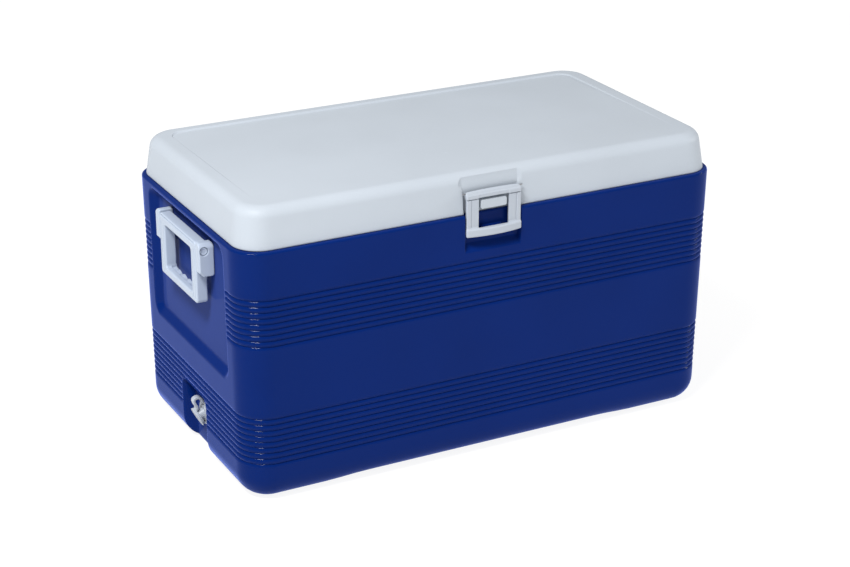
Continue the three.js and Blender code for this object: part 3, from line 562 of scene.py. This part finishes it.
def latch_field(x, y, z):
    """The latch: a crowned barrel round its pin, two posts and a bowed pull bar, with a window between."""
    low, high, pin = LATCH_FOOT, LATCH_HIGH, LATCH_PIVOT
    half = high[0] - 0.7
    crown = np.sqrt(1 - np.clip(np.abs(x) / (half + 1), 0, 1) ** 2)
    around = np.hypot(y - pin[1], z - pin[2] + BARREL_DROP + 0.6 * (1 - crown))
    barrel = slab(around - (BARREL_RADIUS + BARREL_CROWN * crown), x, half, 0.8)
    posts = block(np.abs(x), y, z, (22.9, -193, low[2] + 4), (half, -188, pin[2] - 1.5), 1.0)
    shoulder = block(x, y, z, (-half, -192.4, 376.8), (half, -187.4, pin[2] - 1), 0.9)
    bow = low[1] + BAR_BOW * (x / high[0]) ** 2
    bar_middle, bar_half = (bow + BAR_BACK) / 2, (BAR_BACK - bow) / 2
    profile = rect(y - bar_middle, z - low[2] - BAR_HALF_HEIGHT, bar_half, BAR_HALF_HEIGHT, 2.2)
    bar = slab(profile, x, high[0], 1.6)
    whole = union(union(barrel, posts, 1.5), union(bar, shoulder), 1.6)
    line = block(np.abs(x), y, z, (33.2, -195, low[2] + 12.8), (34.6, -191.9, pin[2] - 7.6), 0.4)
    inner = block(np.abs(x), y, z, (20, -195, low[2] + 12.8), (33.6, -192.5, pin[2] - 7.6), 0.1)
    under = block(x, y, z, (-half - 1, -200, pin[2] - 7.9), (half + 1, -191.2, pin[2] - 6.7), 0.3)
    whole = cut(cut(cut(whole, line, 0.3), inner, 0.1), under, 0.4)
    return cut(whole, np.hypot(y - pin[1], z - pin[2]) - LATCH_PIN_BORE)


# ------------------------------------------------ handles, drawn at the left end
BAIL_TOP = BAIL_HIGH[2] + 3.4  # the bail ends this far above the CAD's
GRIP_Z, GRIP_HALF_WIDTH, GRIP_HALF_HEIGHT, GRIP_CORNER = 288, 47.3, 31, 4.5
SCALLOP_DEPTH, SCALLOP_PITCH, SCALLOP_SHIFT = 2.4, 19, 8
HANDLE_PIN_BORE, HANDLE_PIN_RADIUS, HANDLE_PIN_HEAD, HANDLE_PIN_RECESS = 3.3, 3.0, 4.9, 5.9


def bail_field(x, y, z):
    """A handle's bail: a frame round the grip, with lines cut in its face and finger scallops below."""
    low, high = BAIL_LOW, BAIL_HIGH
    middle_z, half_z = middle_half(low[2], BAIL_TOP)
    middle_x, half_x = middle_half(low[0], high[0])
    outline = rect(y, z - middle_z, high[1], half_z, 5)
    grip = rect(y, z - GRIP_Z, GRIP_HALF_WIDTH, GRIP_HALF_HEIGHT, GRIP_CORNER)
    whole = slab(np.maximum(outline, -grip), x - middle_x, half_x, 2.2)
    top_face = block(x, y, z, (low[0] - 2, -60, 329.0), (low[0] + 1.4, 60, 330.4), 0.4)
    side_face = block(x, np.abs(y), z, (low[0] - 2, 50.4, low[2] + 5), (low[0] + 1.3, 52.0, 318), 0.4)
    border = block(x, np.abs(y), z, (low[0] - 2, 58.6, low[2] + 5), (low[0] + 1.3, 60.2, 322), 0.4)
    wave = 0.5 + 0.5 * np.cos((y - SCALLOP_SHIFT) * 2 * math.pi / SCALLOP_PITCH)
    wave = SCALLOP_DEPTH * wave * smoothstep(44, 38, np.abs(y))
    scallop = block(x, y, z + wave, (middle_x + 0.5, -46.8, 255.6), (high[0] + 3, 46.8, 262), 1.0)
    channel = block(x, y, z, (middle_x + 2.5, -46, low[2] - 3), (high[0] - 2.5, 46, low[2] + 5), 1.0)
    for tool in (top_face, side_face, border, scallop, channel):
        whole = cut(whole, tool, 0.6)
    around = np.hypot(x - HANDLE_PIVOT[0], z - HANDLE_PIVOT[2])
    return cut(whole, np.maximum(around - HANDLE_PIN_BORE, 51.5 - np.abs(y)))


def bracket_field(low, high):
    """One ear. Its outer side, with the pin's recess, is the one further from the middle."""
    outer = max(abs(low[1]), abs(high[1]))
    inner = min(abs(low[1]), abs(high[1]))

    def field(x, y, z):
        y = np.abs(y)
        depth, tall = (high[0] - low[0]) / 2, (high[2] - low[2]) / 2
        side = rect(x - low[0] - depth, z - low[2] - tall, depth, tall, 3.2)
        bevel = ((low[0] + 6) - x + (low[2] + 6) - z) / math.sqrt(2) - 4.2
        middle, half = middle_half(inner, outer)
        whole = slab(np.maximum(side, bevel), y - middle, half, 1.6)
        shoulder = ((y - outer + 4) + (z - high[2] + 4)) / math.sqrt(2) - 2.2
        whole = cut(whole, -shoulder, 1.5)
        around = np.hypot(x - HANDLE_PIVOT[0], z - HANDLE_PIVOT[2])
        recess = np.maximum(around - HANDLE_PIN_RECESS, outer - 3 - y)
        strip_low = (low[0] - 2, outer - 4.6, low[2] + 7)
        strip = block(x, y, z, strip_low, (low[0] + 0.6, outer - 3.7, high[2] - 7), 0.3)
        whole = cut(cut(whole, recess, 0.8), strip, 0.3)
        return cut(whole, around - HANDLE_PIN_BORE)

    return field


def pin_field(low, high, outward):
    """A handle's pivot pin, with a dished head at its outward end."""
    centre_x, centre_z = (low[0] + high[0]) / 2, (low[2] + high[2]) / 2
    head = high[1] if outward > 0 else low[1]
    shank = low[1] if outward > 0 else high[1]

    def field(x, y, z):
        around = np.hypot(x - centre_x, z - centre_z)
        along = (y - head) * -outward
        length = abs(head - shank)
        cap = slab(around - HANDLE_PIN_HEAD, along - 1.3, 0.9, 0.3)
        cap = cut(cap, np.hypot(around, along + 4.4) - 6.2, 0.3)
        rod = slab(around - HANDLE_PIN_RADIUS, along - length / 2 - 0.5, length / 2 - 0.5, 0.5)
        return union(cap, rod, 0.3)

    return field


# ------------------------------------------------ drain
NECK_OUT = np.array([-math.cos(NECK_TILT), 0, -math.sin(NECK_TILT)])
NECK_START = np.array([-DRAIN_FACE + 1, 0, DRAIN_Z])
NECK_HALF, NECK_RADIUS, NECK_BORE = 5.3, 7.8, 5.2
FLANGE_RADIUS, HUB_RADIUS, WASHER_RADIUS = 17, 11, 16
TUBE_END, TUBE_RADIUS, TUBE_BORE = -307, 8.6, 6.5
THREAD_PITCH, THREAD_HALF, THREAD_START = 2.4, 0.45, -336
DRAIN_HOLE = 9.3
STRAP_HALF_THICKNESS, STRAP_HALF_WIDTH = 1.9, 4.2


def neck_frame(x, y, z):
    """Distance along the tilted neck, and away from its axis."""
    dx, dz = x - NECK_START[0], z - NECK_START[2]
    along = dx * NECK_OUT[0] + dz * NECK_OUT[2]
    across = np.sqrt(np.maximum(dx * dx + dz * dz - along * along, 0) + y * y)
    return along, across


def spout_field(x, y, z):
    """The spout: a flange on the wall, a threaded tube through it and a tilted neck outside."""
    around = np.hypot(y, z - DRAIN_Z)
    along, across = neck_frame(x, y, z)
    flange = slab(around - FLANGE_RADIUS, x + DRAIN_FACE - 1.5, 1.5, 0.9)
    turn = np.arctan2(z - DRAIN_Z, y) / (2 * math.pi)
    thread = THREAD_HALF * np.cos(2 * math.pi * (x / THREAD_PITCH + turn)) * (x > THREAD_START)
    tube_start = -DRAIN_FACE + 1
    tube = around - TUBE_RADIUS - np.maximum(thread, -0.4)
    tube = slab(tube, x - (tube_start + TUBE_END) / 2, (TUBE_END - tube_start) / 2, 0.4)
    neck = slab(across - NECK_RADIUS, along - NECK_HALF, NECK_HALF, 0.8)
    hub = slab(around - HUB_RADIUS, x + DRAIN_FACE - 0.2, 1.6, 0.8)
    whole = union(union(union(flange, hub, 1.0), neck, 1.4), tube)
    hollow = np.maximum(around - TUBE_BORE, -x - DRAIN_FACE + 3.5)
    mouth = np.maximum(across - NECK_BORE, -2 - along)
    return cut(cut(whole, hollow), mouth)


def between(a, b, c, d, t):
    """The point a share t of the way from b to c, on a smooth line through a, b, c and d."""
    bend = (2 * a - 5 * b + 4 * c - d) * t**2 + (3 * b - a - 3 * c + d) * t**3
    return 0.5 * (2 * b + (c - a) * t + bend)


def strap_points():
    """Centre line of the cap's strap: from the cap's rim it loops out, over and back to the flange's top."""
    root = np.array([-DRAIN_FACE - 2.0, 0, DRAIN_Z + 17.2])
    steps = [(-9.0, -10.6), (-8.6, -6.2), (-10.8, -2.2), (-12.5, 3.2)]
    steps += [(-10.9, 6.2), (-6.9, 7.2), (-2.2, 5.0), (0, 0)]
    knots = np.array([root + (step_x, 0, step_z) for step_x, step_z in steps])
    ends = np.vstack([2 * knots[0] - knots[1], knots, 2 * knots[-1] - knots[-2]])
    line = []
    for a, b, c, d in zip(ends, ends[1:], ends[2:], ends[3:]):
        line += [between(a, b, c, d, t) for t in np.arange(0, 1, 0.2)]
    return np.array(line + [root])


def cap_field(x, y, z):
    """The cap: a flared, knurled disc on the neck's end, and the strap that holds it to the flange."""
    along, across = neck_frame(x, y, z)
    dx, dz = x - NECK_START[0], z - NECK_START[2]
    turn = np.arctan2(y, dx * NECK_OUT[2] - dz * NECK_OUT[0])
    grip = 0.22 * np.cos(turn * 36) * (across > 10)
    flare = 1.3 * np.clip((along - 8.5) / 4.1, 0, 1)
    disc = slab(across - 13.0 - flare - grip, along - 10.55, 2.05, 0.8)
    disc = cut(disc, np.maximum(across - 10.9, along - 11), 0.2)
    dish = slab(across - 9, along - 12.9, 0.6, 0.3)
    disc = cut(disc, dish, 0.5)
    line = strap_points()
    near = np.full(x.shape, 1e9)
    for a, b in zip(line, line[1:]):
        step = b - a
        t = np.clip(((x - a[0]) * step[0] + (z - a[2]) * step[2]) / (step @ step), 0, 1)
        near = np.minimum(near, np.hypot(x - a[0] - t * step[0], z - a[2] - t * step[2]))
    strap = slab(near - STRAP_HALF_THICKNESS, y, STRAP_HALF_WIDTH, 0.9)
    return union(disc, strap, 0.8)


def washer_field(low, high):
    def field(x, y, z):
        around = np.hypot(y, z - DRAIN_Z)
        middle, half = middle_half(low[0], high[0])
        return cut(slab(around - WASHER_RADIUS, x - middle, half, 0.6), around - DRAIN_HOLE, 0.2)

    return field


def nut_field(low, high):
    def field(x, y, z):
        v, w = y, z - DRAIN_Z
        middle, half = middle_half(low[0], high[0])
        sides = [np.abs(v * math.cos(a) + w * math.sin(a)) for a in np.radians([0, 60, 120])]
        around = np.hypot(v, w)
        hexagon = np.maximum(np.max(sides, axis=0) - 11, around - 12.4)
        return cut(slab(hexagon, x - middle, half, 0.8), around - DRAIN_HOLE, 0.3)

    return field


# ------------------------------------------------ hinges and screws
LEAF_HALF, LEAF_HALF_THICKNESS, KNUCKLE_RADIUS, HINGE_BORE, HINGE_PIN_RADIUS = 30, 1.35, 3.5, 2.1, 1.8
SCREW_SIDE, SCREW_HOLE, SCREW_SEAT = 20, 2.2, 4.3
BODY_SCREW_Z, LID_SCREW_Z = 331, 375
SCREW_HEAD = 1.8  # from a screw's seat to its top


def screw_distance(x, z, height):
    """Distance to the nearer of a leaf's two screws."""
    return np.hypot(np.abs(x) - SCREW_SIDE, z - height)


def hinge_body_field(centre):
    """The leaf on the tub, with the two outer knuckles."""

    def field(x, y, z):
        x = x - centre
        around = np.hypot(y - HINGE_PIVOT[1], z - HINGE_PIVOT[2])
        face = rect(x, z - 333.9, LEAF_HALF, 15.9, 3)
        plate = slab(face, y - 193.65, LEAF_HALF_THICKNESS, 0.7)
        plate = cut(plate, slab(rect(x, z - 332, 12, 9, 2), y - 195.4, 0.9, 0.3), 0.4)
        outer = slab(around - KNUCKLE_RADIUS, np.abs(x) - 21, 9, 0.5)
        web = block(np.abs(x), y, z, (12, 192.3, 346), (30, 195, HINGE_PIVOT[2]), 0.4)
        whole = union(union(plate, web, 0.8), outer, 0.8)
        from_screw = screw_distance(x, z, BODY_SCREW_Z)
        seat = np.maximum(from_screw - SCREW_SEAT, 193.0 - y)
        return cut(cut(cut(whole, from_screw - SCREW_HOLE), seat), around - HINGE_BORE)

    return field


def lid_back(z):
    """Where the lid's back wall is, at a height."""
    return HALF_DEPTH - LID_INSET - LID_DRAFT * (z - LID_BOTTOM)


def hinge_lid_field(centre):
    """The leaf on the lid, with the middle knuckle."""

    def field(x, y, z):
        x = x - centre
        around = np.hypot(y - HINGE_PIVOT[1], z - HINGE_PIVOT[2])
        out = y - lid_back(z) - 0.3
        face = rect(x, z - 373, LEAF_HALF, 13, 3)
        plate = slab(face, out - LEAF_HALF_THICKNESS, LEAF_HALF_THICKNESS, 0.7)
        plate = cut(plate, slab(rect(x, z - 375, 12, 7, 2), out - 3.1, 0.9, 0.3), 0.4)
        tilt = (z - HINGE_PIVOT[2]) / (364.0 - HINGE_PIVOT[2])
        spine = (1 - tilt) * HINGE_PIVOT[1] + tilt * (lid_back(364.0) + 1.65)
        web = slab(np.maximum(np.abs(y - spine) - 1.5, np.abs(z - 359.4) - 5.2), x, 11.5, 0.4)
        knuckle = slab(around - KNUCKLE_RADIUS, x, 11.5, 0.5)
        whole = union(union(plate, web, 0.8), knuckle, 0.8)
        from_screw = screw_distance(x, z, LID_SCREW_Z)
        seat = np.maximum(from_screw - SCREW_SEAT, 0.9 - out)
        return cut(cut(cut(whole, from_screw - SCREW_HOLE), seat), around - HINGE_BORE)

    return field


def screw_field(x, y, z):
    """A pan-head screw with its seat at the origin, its head towards +Z."""
    around = np.hypot(x, y)
    dome = np.sqrt(around**2 + (z + 4.2) ** 2) - 6.05
    head = np.maximum(np.maximum(slab(around - 4, z - 0.9, 0.9, 0.2), dome), -z)
    slots = [np.maximum(np.abs(u) - 0.45, np.abs(v) - 2.1) for u, v in ((x, y), (y, x))]
    cross = np.minimum(*slots)
    head = cut(head, np.maximum(cross, 0.7 - z))
    turn = np.arctan2(y, x) / (2 * math.pi)
    thread = 0.3 * (np.abs(((z / 1.5 + turn) % 1) - 0.5) * 4 - 1)
    taper = np.clip((z + 12) / 2.2, 0.35, 1)
    shank = slab(around - (1.55 + thread) * taper, z + 5.9, 6.1, 0.2)
    return union(head, shank)


def rod_mesh(name, start, end, radius, chamfer=0.5, segments=32):
    """A turned pin with chamfered ends."""
    start, end = np.array(start, float), np.array(end, float)
    length = np.linalg.norm(end - start)
    along = (end - start) / length
    side = np.cross(along, [0.3, 0.5, 0.81])
    side /= np.linalg.norm(side)
    up = np.cross(along, side)
    angles = np.linspace(0, 2 * math.pi, segments, endpoint=False)
    rows = []
    first, last = (0, radius - chamfer), (length, radius - chamfer)
    for distance, size in (first, (chamfer, radius), (length / 2, radius), (length - chamfer, radius), last):
        ring = size * (np.cos(angles)[:, None] * side + np.sin(angles)[:, None] * up)
        rows.append(start + along * distance + ring)
    grid = np.array(rows)
    return mesh_object(name, grid.reshape(-1, 3), skin(grid), 30)


# ------------------------------------------------ materials
class Nodes:
    """A small builder of procedural materials."""

    def __init__(self, name):
        self.material = bpy.data.materials.new(name)
        self.material.use_nodes = True
        self.tree = self.material.node_tree
        self.shader = self.tree.nodes["Principled BSDF"]
        self.place = self.tree.nodes.new("ShaderNodeTexCoord").outputs["Object"]

    def link(self, source, target):
        self.tree.links.new(source, target)

    def noise(self, scale, detail=4.0, rough=0.5, stretch=None):
        node = self.tree.nodes.new("ShaderNodeTexNoise")
        node.inputs["Scale"].default_value = scale
        node.inputs["Detail"].default_value = detail
        node.inputs["Roughness"].default_value = rough
        place = self.place
        if stretch:
            mapping = self.tree.nodes.new("ShaderNodeMapping")
            mapping.inputs["Scale"].default_value = stretch
            mapping.inputs["Rotation"].default_value = (0.4, 0.3, 0.5)
            self.link(place, mapping.inputs["Vector"])
            place = mapping.outputs["Vector"]
        self.link(place, node.inputs["Vector"])
        return node.outputs["Fac"]

    def remap(self, value, from_low, from_high, to_low, to_high):
        node = self.tree.nodes.new("ShaderNodeMapRange")
        sockets = ("From Min", "From Max", "To Min", "To Max")
        for name, number in zip(sockets, (from_low, from_high, to_low, to_high)):
            node.inputs[name].default_value = number
        self.link(value, node.inputs["Value"])
        return node.outputs["Result"]

    def mix(self, amount, a, b):
        node = self.tree.nodes.new("ShaderNodeMix")
        node.data_type = "RGBA"
        self.link(amount, node.inputs["Factor"])
        for socket, value in ((node.inputs[6], a), (node.inputs[7], b)):
            if isinstance(value, tuple):
                socket.default_value = (*value, 1)
            else:
                self.link(value, socket)
        return node.outputs[2]

    def add(self, a, b):
        node = self.tree.nodes.new("ShaderNodeMath")
        node.operation = "ADD"
        self.link(a, node.inputs[0])
        self.link(b, node.inputs[1])
        return node.outputs[0]

    def bump(self, height, strength, distance, under=None):
        node = self.tree.nodes.new("ShaderNodeBump")
        node.inputs["Strength"].default_value = strength
        node.inputs["Distance"].default_value = distance
        self.link(height, node.inputs["Height"])
        if under:
            self.link(under, node.inputs["Normal"])
        return node.outputs["Normal"]


def linear(red, green, blue):
    """An sRGB colour, each part from 0 to 255, as linear light."""
    parts = (red / 255, green / 255, blue / 255)
    return tuple(c / 12.92 if c <= 0.04045 else ((c + 0.055) / 1.055) ** 2.4 for c in parts)


def shade(color, factor):
    """A colour made darker or lighter."""
    return tuple(min(1.0, c * factor) for c in color)


def plastic(name, color, roughness, specular, variation, grain, scuffs, crevice_shade):
    """Moulded plastic: cloudy colour, fine grain, slow waviness, light scuffs, and painted shade darkening its
    crevices, recesses and seams.
    """
    n = Nodes(name)
    cloud = n.remap(n.noise(7, 3), 0.35, 0.65, 0, 1)
    speck = n.remap(n.noise(420, 2), 0.3, 0.7, 0, 1)
    scuff = n.remap(n.noise(55, 6, 0.7, (1, 1, 9)), 0.66, 0.74, 0, scuffs)
    base = n.mix(cloud, shade(color, 1 - variation), shade(color, 1 + variation))
    base = n.mix(n.remap(speck, 0, 1, 0, 0.35), base, shade(color, 1 + 1.4 * variation))
    worn = tuple(min(1.0, c * 1.12 + 0.008) for c in color)
    # Painted shade: ambient occlusion darkens the base colour towards near black in crevices, grooves, recesses
    # and seams, in place of real shadow.
    crevice = n.tree.nodes.new("ShaderNodeAmbientOcclusion")
    crevice.samples = 6
    crevice.inputs["Distance"].default_value = 0.02
    painted_shade = n.remap(crevice.outputs["AO"], 0.15, 0.85, crevice_shade, 0)
    n.link(n.mix(painted_shade, n.mix(scuff, base, worn), shade(color, 0.12)), n.shader.inputs["Base Color"])
    gloss = n.remap(n.noise(16, 5), 0.3, 0.7, roughness - 0.05, roughness + 0.06)
    n.link(n.add(gloss, n.remap(scuff, 0, 1, 0, 0.15)), n.shader.inputs["Roughness"])
    n.shader.inputs["Specular IOR Level"].default_value = specular
    slow = n.bump(n.noise(14, 2), 0.25, 0.0012)
    fine = n.bump(n.noise(900, 3, 0.6), grain, 0.0004, slow)
    n.link(fine, n.shader.inputs["Normal"])
    return n.material


def metal(name, color, roughness):
    """Metal with an uneven polish."""
    n = Nodes(name)
    n.shader.inputs["Metallic"].default_value = 1.0
    cloud = n.remap(n.noise(220, 4), 0.3, 0.7, 0, 1)
    n.link(n.mix(cloud, shade(color, 0.85), shade(color, 1.08)), n.shader.inputs["Base Color"])
    polish = n.remap(n.noise(300, 5), 0.3, 0.7, roughness - 0.08, roughness + 0.12)
    n.link(polish, n.shader.inputs["Roughness"])
    n.link(n.bump(n.noise(1500, 3), 0.2, 0.0002), n.shader.inputs["Normal"])
    return n.material


def foam(name, color):
    """Rigid foam, with its cells showing."""
    n = Nodes(name)
    cell = n.tree.nodes.new("ShaderNodeTexVoronoi")
    cell.inputs["Scale"].default_value = 260
    n.link(n.place, cell.inputs["Vector"])
    distance = cell.outputs["Distance"]
    base = n.mix(n.remap(distance, 0, 0.7, 0, 1), shade(color, 1.08), shade(color, 0.8))
    n.link(base, n.shader.inputs["Base Color"])
    n.link(n.remap(n.noise(90), 0.3, 0.7, 0.8, 0.98), n.shader.inputs["Roughness"])
    n.link(n.bump(distance, 0.6, 0.0015), n.shader.inputs["Normal"])
    return n.material


def blue_plastic():
    """The tub's plastic, with a thin gloss and a blue sheen where light grazes it."""
    material = plastic(
        "blue_plastic", (0.0010, 0.0170, 0.141),
        roughness=0.27, specular=0.0, variation=0.05, grain=0.05, scuffs=0.35, crevice_shade=0.38,
    )
    shader = material.node_tree.nodes["Principled BSDF"]
    for socket, value in (
        ("Coat Weight", 0.12),
        ("Coat Roughness", 0.1),
        ("Sheen Weight", 0.85),
        ("Sheen Roughness", 0.33),
        ("Sheen Tint", (0.25, 0.36, 1, 1)),
    ):
        shader.inputs[socket].default_value = value
    return material


BLUE = blue_plastic()
WHITE = plastic(
    "lid_plastic", (0.525, 0.575, 0.635),
    roughness=0.48, specular=0.22, variation=0.02, grain=0.08, scuffs=0.5, crevice_shade=0.15,
)
LINER = plastic(
    "liner_plastic", (0.74, 0.77, 0.79),
    roughness=0.34, specular=0.4, variation=0.025, grain=0.08, scuffs=0.4, crevice_shade=0.3,
)
FITTING = plastic(
    "fitting_plastic", (0.485, 0.53, 0.595),
    roughness=0.34, specular=0.35, variation=0.02, grain=0.08, scuffs=0.4, crevice_shade=0.2,
)
HANDLE = plastic(
    "handle_plastic", (0.50, 0.575, 0.69),
    roughness=0.34, specular=0.35, variation=0.02, grain=0.08, scuffs=0.4, crevice_shade=0.15,
)
RUBBER = plastic(
    "rubber", linear(46, 47, 50),
    roughness=0.78, specular=0.3, variation=0.15, grain=0.5, scuffs=0.8, crevice_shade=0.3,
)
STEEL = metal("steel", linear(196, 198, 202), 0.32)
FOAM = foam("foam", linear(232, 217, 168))
SLOT_MATERIAL = {
    "body_blue": BLUE,
    "lid_white": WHITE,
    "liner_white": LINER,
    "fitting_white": FITTING,
    "rubber": RUBBER,
    "steel": STEEL,
    "foam": FOAM,
}


# ------------------------------------------------ putting pieces on the frame
NODE_BODY = {n: body for body, nodes in frame["record"]["behaviour"]["bodies"].items() for n in nodes}


def settle(obj, node, slot):
    """obj stands for a CAD node, rides on its body and takes its slot's finish, or the handles' own."""
    is_handle = node.startswith("handle_") and slot == "fitting_white"
    obj.data.materials.clear()
    obj.data.materials.append(HANDLE if is_handle else SLOT_MATERIAL[slot])
    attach(obj, NODE_BODY[node])
    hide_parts(node)


def settle_pair(obj, left, right):
    """A piece of the left handle, and the same piece at the right end, half a turn about Z away."""
    mesh = obj.data.copy()
    mesh.transform(Matrix.Rotation(math.pi, 4, "Z"))
    twin = scene_object(f"{right}_skin", mesh)
    settle(obj, left, "fitting_white")
    settle(twin, right, "fitting_white")


body = body_skin()
drain_start, drain_end = (-DRAIN_X - 6, 0, DRAIN_Z), (-300, 0, DRAIN_Z)
bore(body, drain_start, drain_end, DRAIN_HOLE)
settle(body, "body_shell", "body_blue")
liner = liner_skin()
bore(liner, drain_start, drain_end, DRAIN_HOLE)
settle(liner, "body_liner", "liner_white")
settle(lid_skin(), "lid_shell", "lid_white")
settle(tray_skin(), "lid_liner", "liner_white")

CELL = 1.0  # coarser sculpting while trying things
latch = sculpt("latch_bail_skin", latch_field, LATCH_FOOT, LATCH_HIGH, 0.5 * CELL)
settle(latch, "latch_bail", "fitting_white")
pin_low, pin_high = box("latch_pin")
start, end = (pin_low[0], *LATCH_PIVOT[1:]), (pin_high[0], *LATCH_PIVOT[1:])
pin = rod_mesh("latch_pin_skin", start, end, LATCH_PIN_RADIUS)
settle(pin, "latch_pin", "steel")

bail = sculpt("handle_left_bail_skin", bail_field, BAIL_LOW, (*BAIL_HIGH[:2], BAIL_TOP), 0.65 * CELL)
settle_pair(bail, "handle_left_bail", "handle_right_bail")
for place, other, outward in (("front", "rear", -1), ("rear", "front", 1)):
    node = f"handle_left_bracket_{place}"
    low, high = box(node)
    ear = sculpt(f"{node}_skin", bracket_field(low, high), low, high, 0.5 * CELL)
    settle_pair(ear, node, f"handle_right_bracket_{other}")
    node = f"handle_left_pin_{place}"
    low, high = box(node)
    pin = sculpt(f"{node}_skin", pin_field(low, high, outward), low, high, 0.35 * CELL)
    settle_pair(pin, node, f"handle_right_pin_{other}")

for node, field, slot, cell in (
    ("drain_spout", spout_field, "fitting_white", 0.4),
    ("drain_cap", cap_field, "fitting_white", 0.35),
    ("drain_washer", washer_field(*box("drain_washer")), "rubber", 0.4),
    ("drain_nut", nut_field(*box("drain_nut")), "fitting_white", 0.4),
):
    low, high = box(node)
    settle(sculpt(f"{node}_skin", field, low, high, cell * CELL), node, slot)

for side in ("left", "right"):
    for leaf, field in (("body", hinge_body_field), ("lid", hinge_lid_field)):
        node = f"hinge_{side}_{leaf}_leaf"
        low, high = box(node)
        centre = (low[0] + high[0]) / 2
        settle(sculpt(f"{node}_skin", field(centre), low, high, 0.5 * CELL), node, "fitting_white")
    node = f"hinge_{side}_pin"
    low, high = box(node)
    start, end = (low[0], *HINGE_PIVOT[1:]), (high[0], *HINGE_PIVOT[1:])
    pin = rod_mesh(f"{node}_skin", start, end, HINGE_PIN_RADIUS)
    settle(pin, node, "steel")

screw = sculpt("screw_pattern", screw_field, (-4, -4, -12), (4, 4, SCREW_HEAD), 0.2 * CELL)
for node in [n for n in NODE_BODY if "_screw_" in n]:
    low, high = box(node)
    middle = (low + high) / 2
    if node.startswith("hinge"):
        facing, head = Vector((0, 1, 0)), (middle[0], high[1], middle[2])
    elif "_left_" in node:
        facing, head = Vector((1, 0, 0)), (high[0], middle[1], middle[2])
    else:
        facing, head = Vector((-1, 0, 0)), (low[0], middle[1], middle[2])
    seat = (Vector(head) - facing * SCREW_HEAD) / 1000
    mesh = screw.data.copy()
    mesh.transform(Matrix.Translation(seat) @ facing.to_track_quat("Z", "Y").to_matrix().to_4x4())
    settle(scene_object(f"{node}_skin", mesh), node, "steel")
bpy.data.objects.remove(screw)

for node in ("body_foam", "lid_foam"):
    cad = frame["nodes"][node]
    cad.data.materials.clear()
    cad.data.materials.append(FOAM)


# ------------------------------------------------ floor, light and camera
FLOOR_REACH = 60000  # mm from the middle, so that its edge is never in view
FLOOR_GLOW, WORLD_LIGHT = 0.9, 0.33


def floor_material():
    """Pale paper that glows, so that it comes out white."""
    n = Nodes("floor_paper")
    n.link(n.mix(n.noise(3), (0.19, 0.19, 0.19), (0.21, 0.21, 0.21)), n.shader.inputs["Base Color"])
    n.shader.inputs["Roughness"].default_value = 0.9
    n.shader.inputs["Specular IOR Level"].default_value = 0.0
    n.shader.inputs["Emission Color"].default_value = (1, 1, 1, 1)
    n.shader.inputs["Emission Strength"].default_value = FLOOR_GLOW
    return n.material


floor_corners = [(FLOOR_REACH * x, FLOOR_REACH * y, 0) for x, y in ((-1, -1), (1, -1), (1, 1), (-1, 1))]
floor = mesh_object("floor", floor_corners, [[0, 1, 2, 3]])
floor.data.materials.append(floor_material())

world = bpy.data.worlds.new("studio")
bpy.context.scene.world = world
world.use_nodes = True
background = world.node_tree.nodes["Background"]
background.inputs["Color"].default_value = (1, 1, 1, 1)
background.inputs["Strength"].default_value = WORLD_LIGHT


def softbox(name, place, target, size, power):
    """A rectangular lamp at a place, in metres, that faces a target."""
    light = bpy.data.lights.new(name, "AREA")
    light.shape, light.energy = "RECTANGLE", power
    light.size, light.size_y = size
    obj = scene_object(name, light)
    obj.location = place
    obj.rotation_euler = (Vector(target) - Vector(place)).to_track_quat("-Z", "Y").to_euler()


softbox("key", (-1.76, -1.10, 2.92), (0, 0, 0.25), (1.2, 0.45), 104)
softbox("right", (2.90, -0.90, 1.15), (0, 0, 0.2), (0.8, 0.15), 24)

# The camera's place and turn come from a perspective fit of the photograph's outlines.
CAMERA_PLACE = Vector((-1.22708, -2.33027, 1.27672))
CAMERA_TURN, CAMERA_PITCH, CAMERA_ROLL = (math.radians(a) for a in (27.754, -22.588, 0.198))
ahead = Vector((
    math.sin(CAMERA_TURN) * math.cos(CAMERA_PITCH),
    math.cos(CAMERA_TURN) * math.cos(CAMERA_PITCH),
    math.sin(CAMERA_PITCH),
))
level = Vector((math.cos(CAMERA_TURN), -math.sin(CAMERA_TURN), 0))
upward = level.cross(ahead)
right = level * math.cos(CAMERA_ROLL) + upward * math.sin(CAMERA_ROLL)
camera = scene_object("camera", bpy.data.cameras.new("camera"))
camera.data.lens = 84.86
camera.data.sensor_width = 36
facing = Matrix((right, right.cross(ahead), -ahead)).transposed()
camera.matrix_world = Matrix.Translation(CAMERA_PLACE) @ facing.to_4x4()
bpy.context.scene.camera = camera
bpy.context.scene.view_settings.view_transform = "Standard"
